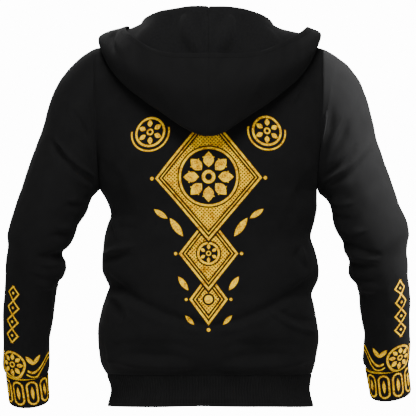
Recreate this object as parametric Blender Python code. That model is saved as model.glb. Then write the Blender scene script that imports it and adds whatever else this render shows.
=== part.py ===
"""A pullover sweatshirt with a hood, as worn, with no wearer: metres, +Z up.

The back faces -Y and the front faces +Y. The origin is the middle of the neck, level with the
tops of the shoulders. Heights in the tables are measured up from the lower edge of the hem band.
"""
import bpy
import numpy as np

NECK_LEVEL = 0.655  # height of the origin above the lower edge of the hem band
CLOTH = 0.0022  # brushed fleece, one layer
RIB_CLOTH = 0.0026  # the knitted bands
RIB_DEPTH = 0.0009
SEAM_GAP = 0.0003
ARMHOLE_GAP = 0.0004

# The trunk's side seams: half widths to the left and right, up to the armpit
SIDE_COLUMNS = ("height", "left", "right")
SIDES = (
    (0.0565, 0.1790, 0.1810),
    (0.0735, 0.1880, 0.1860),
    (0.0945, 0.1917, 0.1898),
    (0.1155, 0.1935, 0.1930),
    (0.1365, 0.1935, 0.1915),
    (0.1575, 0.1900, 0.1880),
    (0.1785, 0.1847, 0.1842),
    (0.1965, 0.1785, 0.1808),
    (0.2090, 0.1745, 0.1860),
    (0.2205, 0.1795, 0.1915),
    (0.2330, 0.1852, 0.1933),
    (0.2520, 0.1867, 0.1915),
    (0.2730, 0.1850, 0.1863),
    (0.2960, 0.1825, 0.1790),
    (0.3170, 0.1770, 0.1828),
    (0.3360, 0.1710, 0.1880),
    (0.3465, 0.1735, 0.1898),
    (0.3590, 0.1785, 0.1898),
    (0.3780, 0.1900, 0.1900),
)
# How far the middle of the back and of the front stand from the side seams' plane
DEPTH_COLUMNS = ("height", "back", "front")
DEPTHS = (
    (0.0565, 0.127, 0.121),
    (0.079, 0.138, 0.130),
    (0.112, 0.143, 0.134),
    (0.145, 0.141, 0.134),
    (0.206, 0.133, 0.130),
    (0.275, 0.126, 0.130),
    (0.342, 0.128, 0.135),
    (0.378, 0.131, 0.138),
    (0.440, 0.132, 0.139),
    (0.500, 0.125, 0.134),
    (0.560, 0.111, 0.116),
    (0.590, 0.098, 0.090),
    (0.620, 0.079, 0.090),
    (0.645, 0.058, 0.090),
)
HEM_SEAM = 0.0565
ARMPIT = 0.378
SHOULDER_TIP = 0.625
NECK_HALF_WIDTH = 0.084
BACK_NECK = 0.645
FRONT_NECK = 0.590
ARMHOLE_DEPTH = 0.064  # half of it, front to back
ARMPIT_X = 0.190
SHOULDER_TIP_X = 0.201
ARMHOLE_FLARE = 0.6  # how far the cut edge of the armhole turns outward
SECTION_POWER = 2.4  # of the trunk's superellipse
CHEST_POWER = 2.2  # of the rounder section above the armpit
CHEST_FROM = 0.35  # share of the way up the armhole at which that section is reached
NECK_POWER = 1.5  # how sharply the neck's edge dips in the middle
NECK_SHARE = 0.5  # of a panel's columns that end at the neck, not on a shoulder
NECK_FROM = 0.7  # share of the way up the armhole at which the panel starts to follow the neck
CALM_POWER = 6  # how close to a panel's side edges its folds stay whole
CALM_AT_HEM = 0.06  # share of a panel's rows from which the folds are whole
CALM_AT_NECK = 0.9  # and up to which
PANEL_COLUMNS = 24
ROWS_BELOW_ARMPIT = 14
ROWS_ABOVE_ARMPIT = 12

# The hem band, from its lower edge up
HEM_COLUMNS = ("height", "left", "right", "back", "front")
HEM = (
    (0.0, 0.1772, 0.1842, 0.126, 0.119),
    (0.030, 0.1712, 0.1775, 0.123, 0.117),
    (0.0562, 0.1790, 0.1810, 0.127, 0.121),
)
HEM_RIBS = 192
CUFF_RIBS = 48

# A sleeve: the outer and the inner line of its sections as seen from behind, how far back or
# forward the section lies, and its half depth. The first section is the armhole.
SLEEVE_COLUMNS = ("outer_x", "outer_h", "inner_x", "inner_h", "middle_y", "half_depth")
SLEEVE_LEFT = (
    (0.2010, 0.625, 0.1900, 0.3780, 0.000, 0.064),
    (0.2250, 0.609, 0.1925, 0.3765, -0.002, 0.066),
    (0.2490, 0.584, 0.1945, 0.3745, -0.005, 0.067),
    (0.2665, 0.557, 0.1970, 0.3720, -0.008, 0.068),
    (0.2785, 0.525, 0.1995, 0.3690, -0.011, 0.068),
    (0.2880, 0.492, 0.2025, 0.3660, -0.014, 0.067),
    (0.3020, 0.455, 0.2055, 0.3600, -0.018, 0.066),
    (0.3130, 0.422, 0.2080, 0.3530, -0.022, 0.065),
    (0.3247, 0.385, 0.2105, 0.3440, -0.026, 0.064),
    (0.3360, 0.355, 0.2165, 0.3330, -0.029, 0.063),
    (0.3460, 0.322, 0.2255, 0.3190, -0.031, 0.062),
    (0.3510, 0.301, 0.2320, 0.3000, -0.031, 0.061),
    (0.3503, 0.285, 0.2395, 0.2850, -0.030, 0.060),
    (0.3515, 0.270, 0.2530, 0.2700, -0.028, 0.058),
    (0.3535, 0.258, 0.2528, 0.2580, -0.0255, 0.0565),
    (0.3545, 0.243, 0.2480, 0.2430, -0.022, 0.055),
    (0.3550, 0.230, 0.2520, 0.2300, -0.018, 0.053),
    (0.3557, 0.218, 0.2615, 0.2180, -0.014, 0.0515),
    (0.3570, 0.200, 0.2650, 0.2000, -0.008, 0.050),
    (0.3597, 0.176, 0.2690, 0.1760, 0.001, 0.047),
    (0.3605, 0.148, 0.2737, 0.1480, 0.012, 0.046),
    (0.3608, 0.120, 0.2785, 0.1200, 0.023, 0.045),
    (0.3615, 0.092, 0.2778, 0.0920, 0.034, 0.044),
    (0.3612, 0.070, 0.2790, 0.0700, 0.042, 0.043),
    (0.3575, 0.060, 0.2812, 0.0600, 0.046, 0.0385),
)
SLEEVE_RIGHT = (
    (0.2010, 0.625, 0.1900, 0.3780, 0.000, 0.064),
    (0.2260, 0.611, 0.1925, 0.3740, -0.002, 0.066),
    (0.2460, 0.593, 0.1950, 0.3705, -0.005, 0.067),
    (0.2640, 0.5675, 0.1985, 0.3675, -0.008, 0.068),
    (0.2765, 0.536, 0.2020, 0.3645, -0.011, 0.068),
    (0.2860, 0.503, 0.2055, 0.3615, -0.014, 0.067),
    (0.2940, 0.467, 0.2085, 0.3580, -0.018, 0.066),
    (0.3060, 0.432, 0.2115, 0.3530, -0.022, 0.065),
    (0.3190, 0.393, 0.2140, 0.3440, -0.026, 0.064),
    (0.3315, 0.357, 0.2150, 0.3310, -0.029, 0.063),
    (0.3460, 0.324, 0.2185, 0.3150, -0.031, 0.062),
    (0.3507, 0.302, 0.2250, 0.3020, -0.031, 0.061),
    (0.3485, 0.288, 0.2335, 0.2880, -0.030, 0.060),
    (0.3463, 0.272, 0.2375, 0.2720, -0.028, 0.058),
    (0.3470, 0.258, 0.2435, 0.2580, -0.0255, 0.0565),
    (0.3485, 0.242, 0.2440, 0.2420, -0.022, 0.055),
    (0.3490, 0.228, 0.2450, 0.2280, -0.018, 0.053),
    (0.3505, 0.214, 0.2570, 0.2140, -0.013, 0.0512),
    (0.3518, 0.200, 0.2612, 0.2000, -0.008, 0.050),
    (0.3530, 0.178, 0.2650, 0.1780, 0.001, 0.047),
    (0.3530, 0.152, 0.2695, 0.1520, 0.012, 0.046),
    (0.3535, 0.128, 0.2732, 0.1280, 0.022, 0.045),
    (0.3542, 0.104, 0.2715, 0.1040, 0.032, 0.044),
    (0.3525, 0.082, 0.2695, 0.0820, 0.040, 0.043),
    (0.3515, 0.072, 0.2735, 0.0720, 0.044, 0.0385),
)
SLEEVE_POINTS_AROUND = 24
CALM_AT_ARMHOLE = (0.012, 0.045)  # the folds start and are whole this far from the armhole seam
CALM_AT_CUFF = 0.02
CALM_AT_SIDES = 3  # how quickly the folds fade from the back of the arm to its front
CUFF_LENGTH = 0.056
CUFF_TIP_SHARE = 0.95  # of the size at the seam

# The hood, lying down: at each angle round the neck (0 behind, 180 at the throat) how far out
# and how high its roll, its lowest fold and its face edge lie, and how full its folds are.
HOOD_COLUMNS = ("angle", "roll_out", "roll_h", "fold_out", "fold_h", "lip_out", "lip_h", "full")
HOOD_LEFT = (
    (0, 0.080, 0.6955, 0.160, 0.472, 0.176, 0.615, 1.0),
    (30, 0.086, 0.6950, 0.167, 0.515, 0.171, 0.619, 1.0),
    (60, 0.100, 0.6875, 0.184, 0.575, 0.166, 0.651, 0.9),
    (90, 0.114, 0.6720, 0.186, 0.640, 0.152, 0.668, 0.5),
    (120, 0.112, 0.6480, 0.157, 0.590, 0.146, 0.624, 0.6),
    (150, 0.106, 0.6220, 0.128, 0.574, 0.126, 0.596, 0.4),
    (180, 0.086, 0.6060, 0.098, 0.590, 0.100, 0.602, 0.2),
)
HOOD_RIGHT = (
    (0, 0.080, 0.6955, 0.160, 0.472, 0.176, 0.615, 1.0),
    (30, 0.086, 0.6945, 0.167, 0.517, 0.172, 0.618, 1.0),
    (60, 0.098, 0.6855, 0.184, 0.576, 0.172, 0.647, 0.9),
    (90, 0.110, 0.6680, 0.190, 0.640, 0.172, 0.664, 0.5),
    (120, 0.112, 0.6460, 0.158, 0.590, 0.152, 0.622, 0.6),
    (150, 0.106, 0.6220, 0.128, 0.574, 0.126, 0.596, 0.4),
    (180, 0.086, 0.6060, 0.098, 0.590, 0.100, 0.602, 0.2),
)
HOOD_CENTRE_Y = 0.010
ROLL_WIDTH = 0.016
FOLD_WIDTH = 0.012
ROLL_DROP = 1.1  # how steeply the roll turns down, for one part outward
FOLD_FALL = 0.9  # the same for the cloth that comes down into the lowest fold
FOLD_RISE = (0.8, 1.1)  # outward and up, for the cloth that leaves the lowest fold
STAND_HOLLOW = 0.1  # of the roll's width
BOWL_CLEARANCE = 0.012  # of the layer that lies on the back
THROAT_SHARE = -0.3  # of that clearance, at the throat
BELLY = 0.010
HOOD_ANGLES = 12
# From which knot to which, and in how many steps: up the stand, down into the bowl, up the outside
HOOD_PROFILE = ((0, 2, 3), (2, 6, 9), (6, 9, 6))

# Folds: where each starts and ends as seen from behind (x to the right, h up), how wide it is,
# and how deep. A positive depth is a trough, a negative one a ridge.
FOLD_COLUMNS = ("x0", "h0", "x1", "h1", "width", "depth")
FOLD_END_SHARE = 0.45  # of a fold's depth that is left at its ends
BACK_FOLDS = (
    (-0.178, 0.205, -0.020, 0.135, 0.020, 0.007),
    (0.185, 0.208, 0.030, 0.133, 0.020, 0.007),
    (-0.172, 0.310, -0.120, 0.255, 0.018, -0.005),
    (0.150, 0.145, 0.184, 0.120, 0.018, -0.005),
    (-0.100, 0.112, -0.040, 0.122, 0.024, 0.005),
    (0.104, 0.112, 0.040, 0.122, 0.024, 0.005),
    (-0.170, 0.084, 0.174, 0.082, 0.018, -0.004),
)
FRONT_FOLDS = (
    (-0.176, 0.215, -0.040, 0.150, 0.022, 0.006),
    (0.180, 0.200, 0.020, 0.140, 0.022, 0.007),
    (0.170, 0.330, 0.110, 0.280, 0.018, -0.004),
    (-0.165, 0.360, -0.095, 0.430, 0.020, 0.005),
    (0.168, 0.365, 0.100, 0.440, 0.020, 0.004),
    (-0.165, 0.082, 0.170, 0.085, 0.018, -0.004),
)
SLEEVE_FOLDS_LEFT = (
    (-0.230, 0.500, -0.197, 0.430, 0.016, 0.005),
    (-0.270, 0.455, -0.232, 0.412, 0.018, 0.005),
    (-0.225, 0.340, -0.300, 0.372, 0.014, 0.006),
    (-0.235, 0.290, -0.315, 0.318, 0.014, 0.006),
    (-0.245, 0.252, -0.310, 0.262, 0.013, 0.006),
    (-0.268, 0.215, -0.330, 0.238, 0.013, 0.005),
)
SLEEVE_FOLDS_RIGHT = (
    (0.228, 0.482, 0.198, 0.430, 0.016, 0.006),
    (0.276, 0.446, 0.234, 0.408, 0.018, 0.005),
    (0.223, 0.345, 0.300, 0.366, 0.014, 0.006),
    (0.238, 0.288, 0.320, 0.322, 0.014, 0.006),
    (0.250, 0.252, 0.312, 0.268, 0.013, 0.006),
    (0.268, 0.210, 0.330, 0.232, 0.013, 0.005),
)

OUTLINE_POINTS = 2400
SHARP_ANGLE = 50  # degrees

CLOTH_LOOK = {"color": (0.012, 0.012, 0.012), "roughness": 0.92}
RIB_LOOK = {"color": (0.010, 0.010, 0.010), "roughness": 0.95}


def column(table, columns, name):
    return np.array([row[columns.index(name)] for row in table], float)


def through(stations, values, at):
    """Reads a smooth curve that passes through the values at the stations."""
    steps = np.diff(stations)
    slopes = np.diff(values) / steps
    inner = (slopes[:-1] * steps[1:] + slopes[1:] * steps[:-1]) / (steps[1:] + steps[:-1])
    tangents = np.concatenate([slopes[:1], inner, slopes[-1:]])
    at = np.asarray(at, float)
    i = np.clip(np.searchsorted(stations, at, side="right") - 1, 0, len(steps) - 1)
    f = (at - stations[i]) / steps[i]
    rise = f * f * (3 - 2 * f)
    leave = f * (1 - f) ** 2 * steps[i] * tangents[i]
    arrive = f * f * (f - 1) * steps[i] * tangents[i + 1]
    return values[i] * (1 - rise) + values[i + 1] * rise + leave + arrive


def smoothstep(low, high, at):
    f = np.clip((at - low) / (high - low), 0, 1)
    return f * f * (3 - 2 * f)


def unit(vectors):
    return vectors / np.linalg.norm(vectors, axis=-1, keepdims=True)


def half_width(side_name, heights):
    stations = column(SIDES, SIDE_COLUMNS, "height")
    return through(stations, column(SIDES, SIDE_COLUMNS, side_name), heights)


def depth_at(face_name, heights):
    stations = column(DEPTHS, DEPTH_COLUMNS, "height")
    return through(stations, column(DEPTHS, DEPTH_COLUMNS, face_name), heights)


def armhole(side, turn, face):
    """Points of one armhole seam: side -1 left, +1 right; turn 0 armpit, pi shoulder tip."""
    middle = (ARMPIT + SHOULDER_TIP) / 2
    reach = (SHOULDER_TIP - ARMPIT) / 2
    heights = middle - reach * np.cos(turn)
    widening = smoothstep(ARMPIT, SHOULDER_TIP, heights)
    x = side * (ARMPIT_X + (SHOULDER_TIP_X - ARMPIT_X) * widening)
    return np.stack([x, face * ARMHOLE_DEPTH * np.sin(turn), heights], axis=-1)


def armhole_normals(side, turn, face):
    """Halfway between the trunk's face and the sleeve's, so that both cut edges are parallel."""
    reach = (SHOULDER_TIP - ARMPIT) / 2
    y = face * np.sin(turn) / ARMHOLE_DEPTH
    h = -np.cos(turn) / reach
    outward = ARMHOLE_FLARE * side * np.hypot(y, h)
    return unit(np.stack([outward, y, h], axis=-1))


def fold_depths(points, folds, fade):
    """How deep the folds press in at each point, as seen from behind."""
    depths = np.zeros(points.shape[:-1])
    for row in folds:
        fold = dict(zip(FOLD_COLUMNS, row))
        start = np.array([fold["x0"], fold["h0"]])
        run = np.array([fold["x1"], fold["h1"]]) - start
        away = points[..., [0, 2]] - start
        share = np.clip(away @ run / (run @ run), 0, 1)
        near = np.linalg.norm(away - share[..., None] * run, axis=-1) / fold["width"]
        ends = FOLD_END_SHARE + (1 - FOLD_END_SHARE) * np.sin(np.pi * share)
        depths += fold["depth"] * ends * np.exp(-near * near)
    return depths * fade


def grid_normals(points, around=False):
    """Normals of a grid of points; rows run up and columns run round to the right."""
    up = np.gradient(points, axis=0)
    if around:
        across = (np.roll(points, -1, axis=1) - np.roll(points, 1, axis=1)) / 2
    else:
        across = np.gradient(points, axis=1)
    return unit(np.cross(across, up))


def panel(face, folds):
    """Outer points and normals of the back (face -1) or the front (face +1)."""
    s = np.linspace(-1, 1, PANEL_COLUMNS + 1)
    turn = s * np.pi / 2
    width_share = np.sign(turn) * np.abs(np.sin(turn)) ** (2 / SECTION_POWER)
    depth_share = np.abs(np.cos(turn)) ** (2 / SECTION_POWER)
    depth_name = "back" if face < 0 else "front"
    neck_height = BACK_NECK if face < 0 else FRONT_NECK
    side = np.where(s < 0, -1, 1)

    rows = []
    for height in np.linspace(HEM_SEAM, ARMPIT, ROWS_BELOW_ARMPIT + 1):
        half = np.where(s < 0, half_width("left", height), half_width("right", height))
        y = face * depth_at(depth_name, height) * depth_share
        rows.append(np.stack([half * width_share, y, np.full_like(s, height)], axis=-1))

    neck_turn = np.clip(s / NECK_SHARE, -1, 1) * np.pi / 2
    on_shoulder = np.clip((np.abs(s) - NECK_SHARE) / (1 - NECK_SHARE), 0, 1)
    shoulder_length = SHOULDER_TIP_X - NECK_HALF_WIDTH
    top_x = NECK_HALF_WIDTH * np.sin(neck_turn) + side * shoulder_length * on_shoulder
    top_h = NECK_LEVEL - (NECK_LEVEL - neck_height) * np.abs(np.cos(neck_turn)) ** NECK_POWER
    top_h = top_h - (NECK_LEVEL - SHOULDER_TIP) * on_shoulder
    top_share = np.where(np.abs(s) < NECK_SHARE, np.cos(neck_turn), 0)
    middle_share = 1 - s * s
    for t in np.linspace(0, 1, ROWS_ABOVE_ARMPIT + 1)[1:]:
        left, right = (armhole(one, np.pi * t, face) for one in (-1, 1))
        edge = np.where(s[:, None] < 0, left, right)
        centre_height = ARMPIT + (neck_height - ARMPIT) * t
        rounding = smoothstep(0, CHEST_FROM, t)
        share = depth_share * (1 - rounding) + (1 - np.abs(s) ** CHEST_POWER) * rounding
        toward_top = smoothstep(NECK_FROM, 1, t)
        share = share * (1 - toward_top) + top_share * toward_top
        y = edge[:, 1] * (1 - share) + face * depth_at(depth_name, centre_height) * share
        h = edge[:, 2] * (1 - middle_share) + centre_height * middle_share
        h_at_top = SHOULDER_TIP * (1 - middle_share) + neck_height * middle_share
        h = h + (top_h - h_at_top) * t**3
        narrowing = smoothstep(0, 1, t)
        x = np.abs(edge[:, 0]) * width_share * (1 - narrowing) + top_x * narrowing
        x = np.where(np.abs(s) == 1, edge[:, 0], x)
        rows.append(np.stack([x, y, h], axis=-1))
    points = np.array(rows)

    normals = grid_normals(points) * -face
    rise = np.linspace(0, 1, len(points))[:, None]
    fade = 1 - np.abs(s) ** CALM_POWER
    fade = fade * smoothstep(0, CALM_AT_HEM, rise) * smoothstep(1, CALM_AT_NECK, rise)
    points = points - normals * fold_depths(points, folds, fade)[..., None]
    normals = grid_normals(points) * -face
    return points, seam_normals(normals, s, face, neck_turn)


def seam_normals(normals, s, face, neck_turn):
    """Gives both sides of every seam the same normal, so that their cut edges are parallel."""
    below = ROWS_BELOW_ARMPIT
    normals[0, :, 2] = 0
    normals[: below + 1, [0, -1], 1] = 0
    slope = np.arctan2(NECK_LEVEL - SHOULDER_TIP, SHOULDER_TIP_X - NECK_HALF_WIDTH)
    for j, one in enumerate(s):
        if abs(one) > NECK_SHARE:
            normals[-1, j] = (np.sign(one) * np.sin(slope), 0, np.cos(slope))
        else:
            normals[-1, j] = neck_normal(neck_turn[j], face)
        if abs(one) == NECK_SHARE:
            normals[-1, j] = (np.sign(one), 0, 1)
    turns = np.pi * np.linspace(0, 1, ROWS_ABOVE_ARMPIT + 1)
    normals[below:, 0] = armhole_normals(-1, turns, face)
    normals[below:, -1] = armhole_normals(1, turns, face)
    return unit(normals)


def neck_normal(turn, face):
    """Level, and square to the neck's outline as seen from above."""
    depth = depth_at("back", BACK_NECK) if face < 0 else depth_at("front", FRONT_NECK)
    return np.array([np.sin(turn) / NECK_HALF_WIDTH, face * np.cos(turn) / depth, 0])


def open_seams(points, face):
    """Draws a panel's edges back from its side, shoulder and armhole seams by half a gap."""
    below = ROWS_BELOW_ARMPIT
    points[: below + 1, [0, -1], 1] += face * SEAM_GAP / 2
    on_shoulder = np.abs(np.linspace(-1, 1, PANEL_COLUMNS + 1)) >= NECK_SHARE
    points[-1, on_shoulder, 1] += face * SEAM_GAP / 2
    points[below:, 0, 0] += ARMHOLE_GAP / 2
    points[below:, -1, 0] -= ARMHOLE_GAP / 2
    return points


def make_panel(name, face, folds):
    points, normals = panel(face, folds)
    neck = points[-1].copy()
    outer = open_seams(points, face)
    add_wall(name, outer, outer - CLOTH * normals, CLOTH_LOOK)
    return neck


def sleeve_rings(side, table):
    """Centres, half widths toward the outer line, and half depths of a sleeve's sections."""
    values = {name: column(table, SLEEVE_COLUMNS, name) for name in SLEEVE_COLUMNS}
    outer = np.stack([side * values["outer_x"], values["middle_y"], values["outer_h"]], axis=-1)
    inner = np.stack([side * values["inner_x"], values["middle_y"], values["inner_h"]], axis=-1)
    centres = (outer + inner) / 2
    reach = (outer - inner) / 2
    along = unit(np.gradient(centres, axis=0))
    depth = unit(np.cross(reach, along)) * side
    depth[0] = (0, 1, 0)
    depth[1] = unit(depth[0] + depth[2])
    return centres, reach, depth * values["half_depth"][:, None]


def sleeve(side, table, folds):
    """Outer points and normals of a sleeve; columns start at the armpit and run over the back."""
    turns = np.linspace(0, 2 * np.pi, SLEEVE_POINTS_AROUND, endpoint=False)
    centres, reach, depth = sleeve_rings(side, table)
    rings = [
        centre - across * np.cos(turns)[:, None] - away * np.sin(turns)[:, None]
        for centre, across, away in zip(centres, reach, depth)
    ]
    points = np.array(rings)
    faces = np.where(turns <= np.pi, -1, 1)
    from_armpit = np.minimum(turns, 2 * np.pi - turns)
    points[0] = [armhole(side, turn, face) for turn, face in zip(from_armpit, faces)]
    points[0, :, 0] += side * ARMHOLE_GAP / 2
    normals = grid_normals(points, around=True) * -side
    from_armhole = np.linalg.norm(points - points[0], axis=-1)
    from_cuff = np.linalg.norm(points - points[-1], axis=-1)
    fade = smoothstep(*CALM_AT_ARMHOLE, from_armhole) * smoothstep(0, CALM_AT_CUFF, from_cuff)
    fade = fade * smoothstep(-1, 1, CALM_AT_SIDES * np.sin(turns))
    points = points - normals * fold_depths(points, folds, fade)[..., None]
    normals = grid_normals(points, around=True) * -side
    for j, (turn, face) in enumerate(zip(from_armpit, faces)):
        normals[0, j] = armhole_normals(side, turn, face)
    along = unit(centres[-1] - centres[-2])
    last = points[-1] - centres[-1]
    last = last - (last @ along)[:, None] * along
    points[-1] = centres[-1] + last
    normals[-1] = unit(last)
    return points, normals, along


def make_sleeve_and_cuff(word, side, table, folds):
    points, normals, along = sleeve(side, table, folds)
    add_wall("sleeve_" + word, points, points - CLOTH * normals, CLOTH_LOOK, around=True)
    centre = points[-1].mean(axis=0)
    last = points[-1] - centre
    rings = []
    for share in (0, 0.5, 1):
        size = 1 + (CUFF_TIP_SHARE - 1) * share
        ring = centre + along * (SEAM_GAP + CUFF_LENGTH * share) + last * size
        rings.append(ring)
    add_ribbed_tube("cuff_" + word, rings, CUFF_RIBS, CUFF_RIBS // 2)


def hem_ring(row):
    values = dict(zip(HEM_COLUMNS, row))
    turn = np.linspace(0, 2 * np.pi, OUTLINE_POINTS, endpoint=False)
    right = np.sin(turn)
    front = -np.cos(turn)
    half = np.where(right < 0, values["left"], values["right"])
    deep = np.where(front < 0, values["back"], values["front"])
    x = half * np.sign(right) * np.abs(right) ** (2 / SECTION_POWER)
    y = deep * np.sign(front) * np.abs(front) ** (2 / SECTION_POWER)
    return np.stack([x, y, np.full_like(x, values["height"])], axis=-1)


def evenly(ring, count):
    """The same closed outline with its points at equal distances."""
    closed = np.vstack([ring, ring[:1]])
    lengths = np.concatenate([[0], np.cumsum(np.linalg.norm(np.diff(closed, axis=0), axis=1))])
    at = np.linspace(0, lengths[-1], count, endpoint=False)
    return np.stack([np.interp(at, lengths, closed[:, k]) for k in range(3)], axis=-1)


def add_ribbed_tube(name, rings, ribs, plain):
    """A knitted band: its outer points rise and fall with each rib, its inside is plain."""
    outer = []
    inner = []
    for ring in rings:
        fine = evenly(ring, 2 * ribs)
        axis = unit(np.cross(fine[0] - fine.mean(axis=0), fine[ribs // 2] - fine.mean(axis=0)))
        out = unit(np.cross(np.roll(fine, -1, axis=0) - np.roll(fine, 1, axis=0), axis))
        out = out * np.sign(((fine - fine.mean(axis=0)) * out).sum())
        groove = np.where(np.arange(2 * ribs) % 2 == 0, 0, RIB_DEPTH)
        outer.append(fine - out * groove[:, None])
        inner.append((fine - out * RIB_CLOTH)[:: 2 * ribs // plain])
    add_tube_of_two_counts(name, np.array(outer), np.array(inner), RIB_LOOK)


def add_tube_of_two_counts(name, outer, inner, look):
    rows, many = outer.shape[:2]
    few = inner.shape[1]
    step = many // few
    start = rows * many
    faces = []
    for i in range(rows - 1):
        faces += strip(i * many, (i + 1) * many, many, False)
        faces += strip(start + i * few, start + (i + 1) * few, few, True)
    for i, turned in ((0, True), (rows - 1, False)):
        for j in range(few):
            a = start + i * few + j
            b = start + i * few + (j + 1) % few
            fan = [i * many + (j * step + k) % many for k in range(step + 1)]
            middle = step // 2
            rim = [(fan[k], fan[k + 1], a if k < middle else b) for k in range(step)]
            rim.append((a, fan[middle], b))
            faces += [face[::-1] if turned else face for face in rim]
    add_mesh(name, np.vstack([outer.reshape(-1, 3), inner.reshape(-1, 3)]), faces, look)


def strip(low, high, count, turned):
    faces = []
    for j in range(count):
        k = (j + 1) % count
        faces += [(low + j, low + k, high + k), (low + j, high + k, high + j)]
    return [face[::-1] for face in faces] if turned else faces


def round_the_neck(table, name, angles):
    """A column of the hood's table, carried on past both of its ends as a mirror image."""
    stations = column(table, HOOD_COLUMNS, "angle")
    values = column(table, HOOD_COLUMNS, name)
    stations = np.concatenate([[-stations[1]], stations, [360 - stations[-2]]])
    values = np.concatenate([[values[1]], values, [values[-2]]])
    return through(stations, values, angles)


def hood_half(side, table, neck):
    """Outer points of half of the hood: rows run round the neck from behind to the throat."""
    angles = np.linspace(0, 180, HOOD_ANGLES + 1)
    at = {name: round_the_neck(table, name, angles) for name in HOOD_COLUMNS[1:]}
    rows = []
    for k, angle in enumerate(np.radians(angles)):
        out = np.array([side * np.sin(angle), -np.cos(angle), 0])
        up = np.array([0, 0, 1])
        middle = np.array([0, HOOD_CENTRE_Y, 0])
        seam = neck[k] + up * SEAM_GAP
        full = at["full"][k]
        roll = middle + out * at["roll_out"][k] + up * at["roll_h"][k]
        fold = middle + out * at["fold_out"][k] + up * at["fold_h"][k]
        lip = middle + out * at["lip_out"][k] + up * at["lip_h"][k]
        over = roll + (out - ROLL_DROP * up) * ROLL_WIDTH * full
        before = fold + (FOLD_FALL * up - out) * FOLD_WIDTH * full
        after = fold + (FOLD_RISE[0] * out + FOLD_RISE[1] * up) * FOLD_WIDTH * full
        stand = (seam + roll) / 2 - STAND_HOLLOW * ROLL_WIDTH * out * full
        bowl = (over + before) / 2 + out * BOWL_CLEARANCE * max(np.cos(angle), THROAT_SHARE)
        belly = (after + lip) / 2 + BELLY * out * full
        rows.append([seam, stand, roll, over, bowl, before, fold, after, belly, lip])
    profile = [np.linspace(low, high, steps + 1)[:-1] for low, high, steps in HOOD_PROFILE]
    profile = np.concatenate(profile + [[HOOD_PROFILE[-1][1]]])
    knots = np.array(rows)
    order = np.arange(knots.shape[1], dtype=float)
    points = np.empty((len(knots), len(profile), 3))
    for k, c in np.ndindex(len(knots), 3):
        points[k, :, c] = through(order, knots[k, :, c], profile)
    return points


def add_wall(name, outer, inner, look, around=False):
    """A closed wall between two grids of points."""
    rows, count = outer.shape[:2]
    layer = rows * count

    def corner(i, j, inside):
        return inside * layer + i * count + j % count

    faces = []
    for i in range(rows - 1):
        for j in range(count if around else count - 1):
            for inside in (0, 1):
                a, b = corner(i, j, inside), corner(i, j + 1, inside)
                c, d = corner(i + 1, j + 1, inside), corner(i + 1, j, inside)
                both = [(a, b, c), (a, c, d)]
                faces += [face[::-1] for face in both] if inside else both
    for i, turned in ((0, False), (rows - 1, True)):
        for j in range(count if around else count - 1):
            rim = [
                (corner(i, j, 1), corner(i, j + 1, 1), corner(i, j + 1, 0)),
                (corner(i, j, 1), corner(i, j + 1, 0), corner(i, j, 0)),
            ]
            faces += [face[::-1] for face in rim] if turned else rim
    if not around:
        for j, turned in ((0, True), (count - 1, False)):
            for i in range(rows - 1):
                rim = [
                    (corner(i, j, 1), corner(i + 1, j, 1), corner(i + 1, j, 0)),
                    (corner(i, j, 1), corner(i + 1, j, 0), corner(i, j, 0)),
                ]
                faces += [face[::-1] for face in rim] if turned else rim
    add_mesh(name, np.vstack([outer.reshape(-1, 3), inner.reshape(-1, 3)]), faces, look)


def add_mesh(name, points, faces, look):
    points = points - np.array([0, 0, NECK_LEVEL])
    corners = points[np.array(faces)]
    volume = np.einsum("ij,ij->i", corners[:, 0], np.cross(corners[:, 1], corners[:, 2])).sum()
    if volume < 0:
        faces = [face[::-1] for face in faces]
    mesh = bpy.data.meshes.new(name)
    mesh.from_pydata(points.tolist(), [], [tuple(map(int, face)) for face in faces])
    mesh.shade_smooth()
    mesh.set_sharp_from_angle(angle=np.radians(SHARP_ANGLE))
    mesh.materials.append(material(name, look))
    obj = bpy.data.objects.new(name, mesh)
    bpy.context.scene.collection.objects.link(obj)


def material(name, look):
    made = bpy.data.materials.new(name)
    made.use_nodes = True
    shader = made.node_tree.nodes["Principled BSDF"]
    shader.inputs["Base Color"].default_value = (*look["color"], 1)
    shader.inputs["Roughness"].default_value = look["roughness"]
    shader.inputs["Metallic"].default_value = 0
    return made


def make_hood(word, side, table, neck):
    points = hood_half(side, table, neck)
    normals = grid_normals(points) * -side
    normals[:, 0] = [unit(normal * np.array([1, 1, 0])) for normal in normals[:, 0]]
    normals[0, :, 0] = 0
    normals[-1, :, 0] = 0
    normals = unit(normals)
    points[0, :, 0] = side * SEAM_GAP / 2
    points[-1, :, 0] = side * SEAM_GAP / 2
    add_wall("hood_" + word, points, points - CLOTH * normals, CLOTH_LOOK)


def main():
    for obj in list(bpy.data.objects):
        bpy.data.objects.remove(obj)
    back_neck = make_panel("back", -1, BACK_FOLDS)
    front_neck = make_panel("front", 1, FRONT_FOLDS)
    make_sleeve_and_cuff("left", -1, SLEEVE_LEFT, SLEEVE_FOLDS_LEFT)
    make_sleeve_and_cuff("right", 1, SLEEVE_RIGHT, SLEEVE_FOLDS_RIGHT)
    add_ribbed_tube("hem_band", [hem_ring(row) for row in HEM], HEM_RIBS, HEM_RIBS // 4)
    middle = PANEL_COLUMNS // 2
    quarter = PANEL_COLUMNS // 4
    for word, side, table in (("left", -1, HOOD_LEFT), ("right", 1, HOOD_RIGHT)):
        behind = [back_neck[middle + side * k] for k in range(quarter)]
        before = [front_neck[middle + side * k] for k in range(quarter, -1, -1)]
        make_hood(word, side, table, np.array(behind + before))


main()
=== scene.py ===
"""A pullover sweatshirt with a hood, as worn: black brushed fleece with a gold ornament."""
import math

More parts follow.
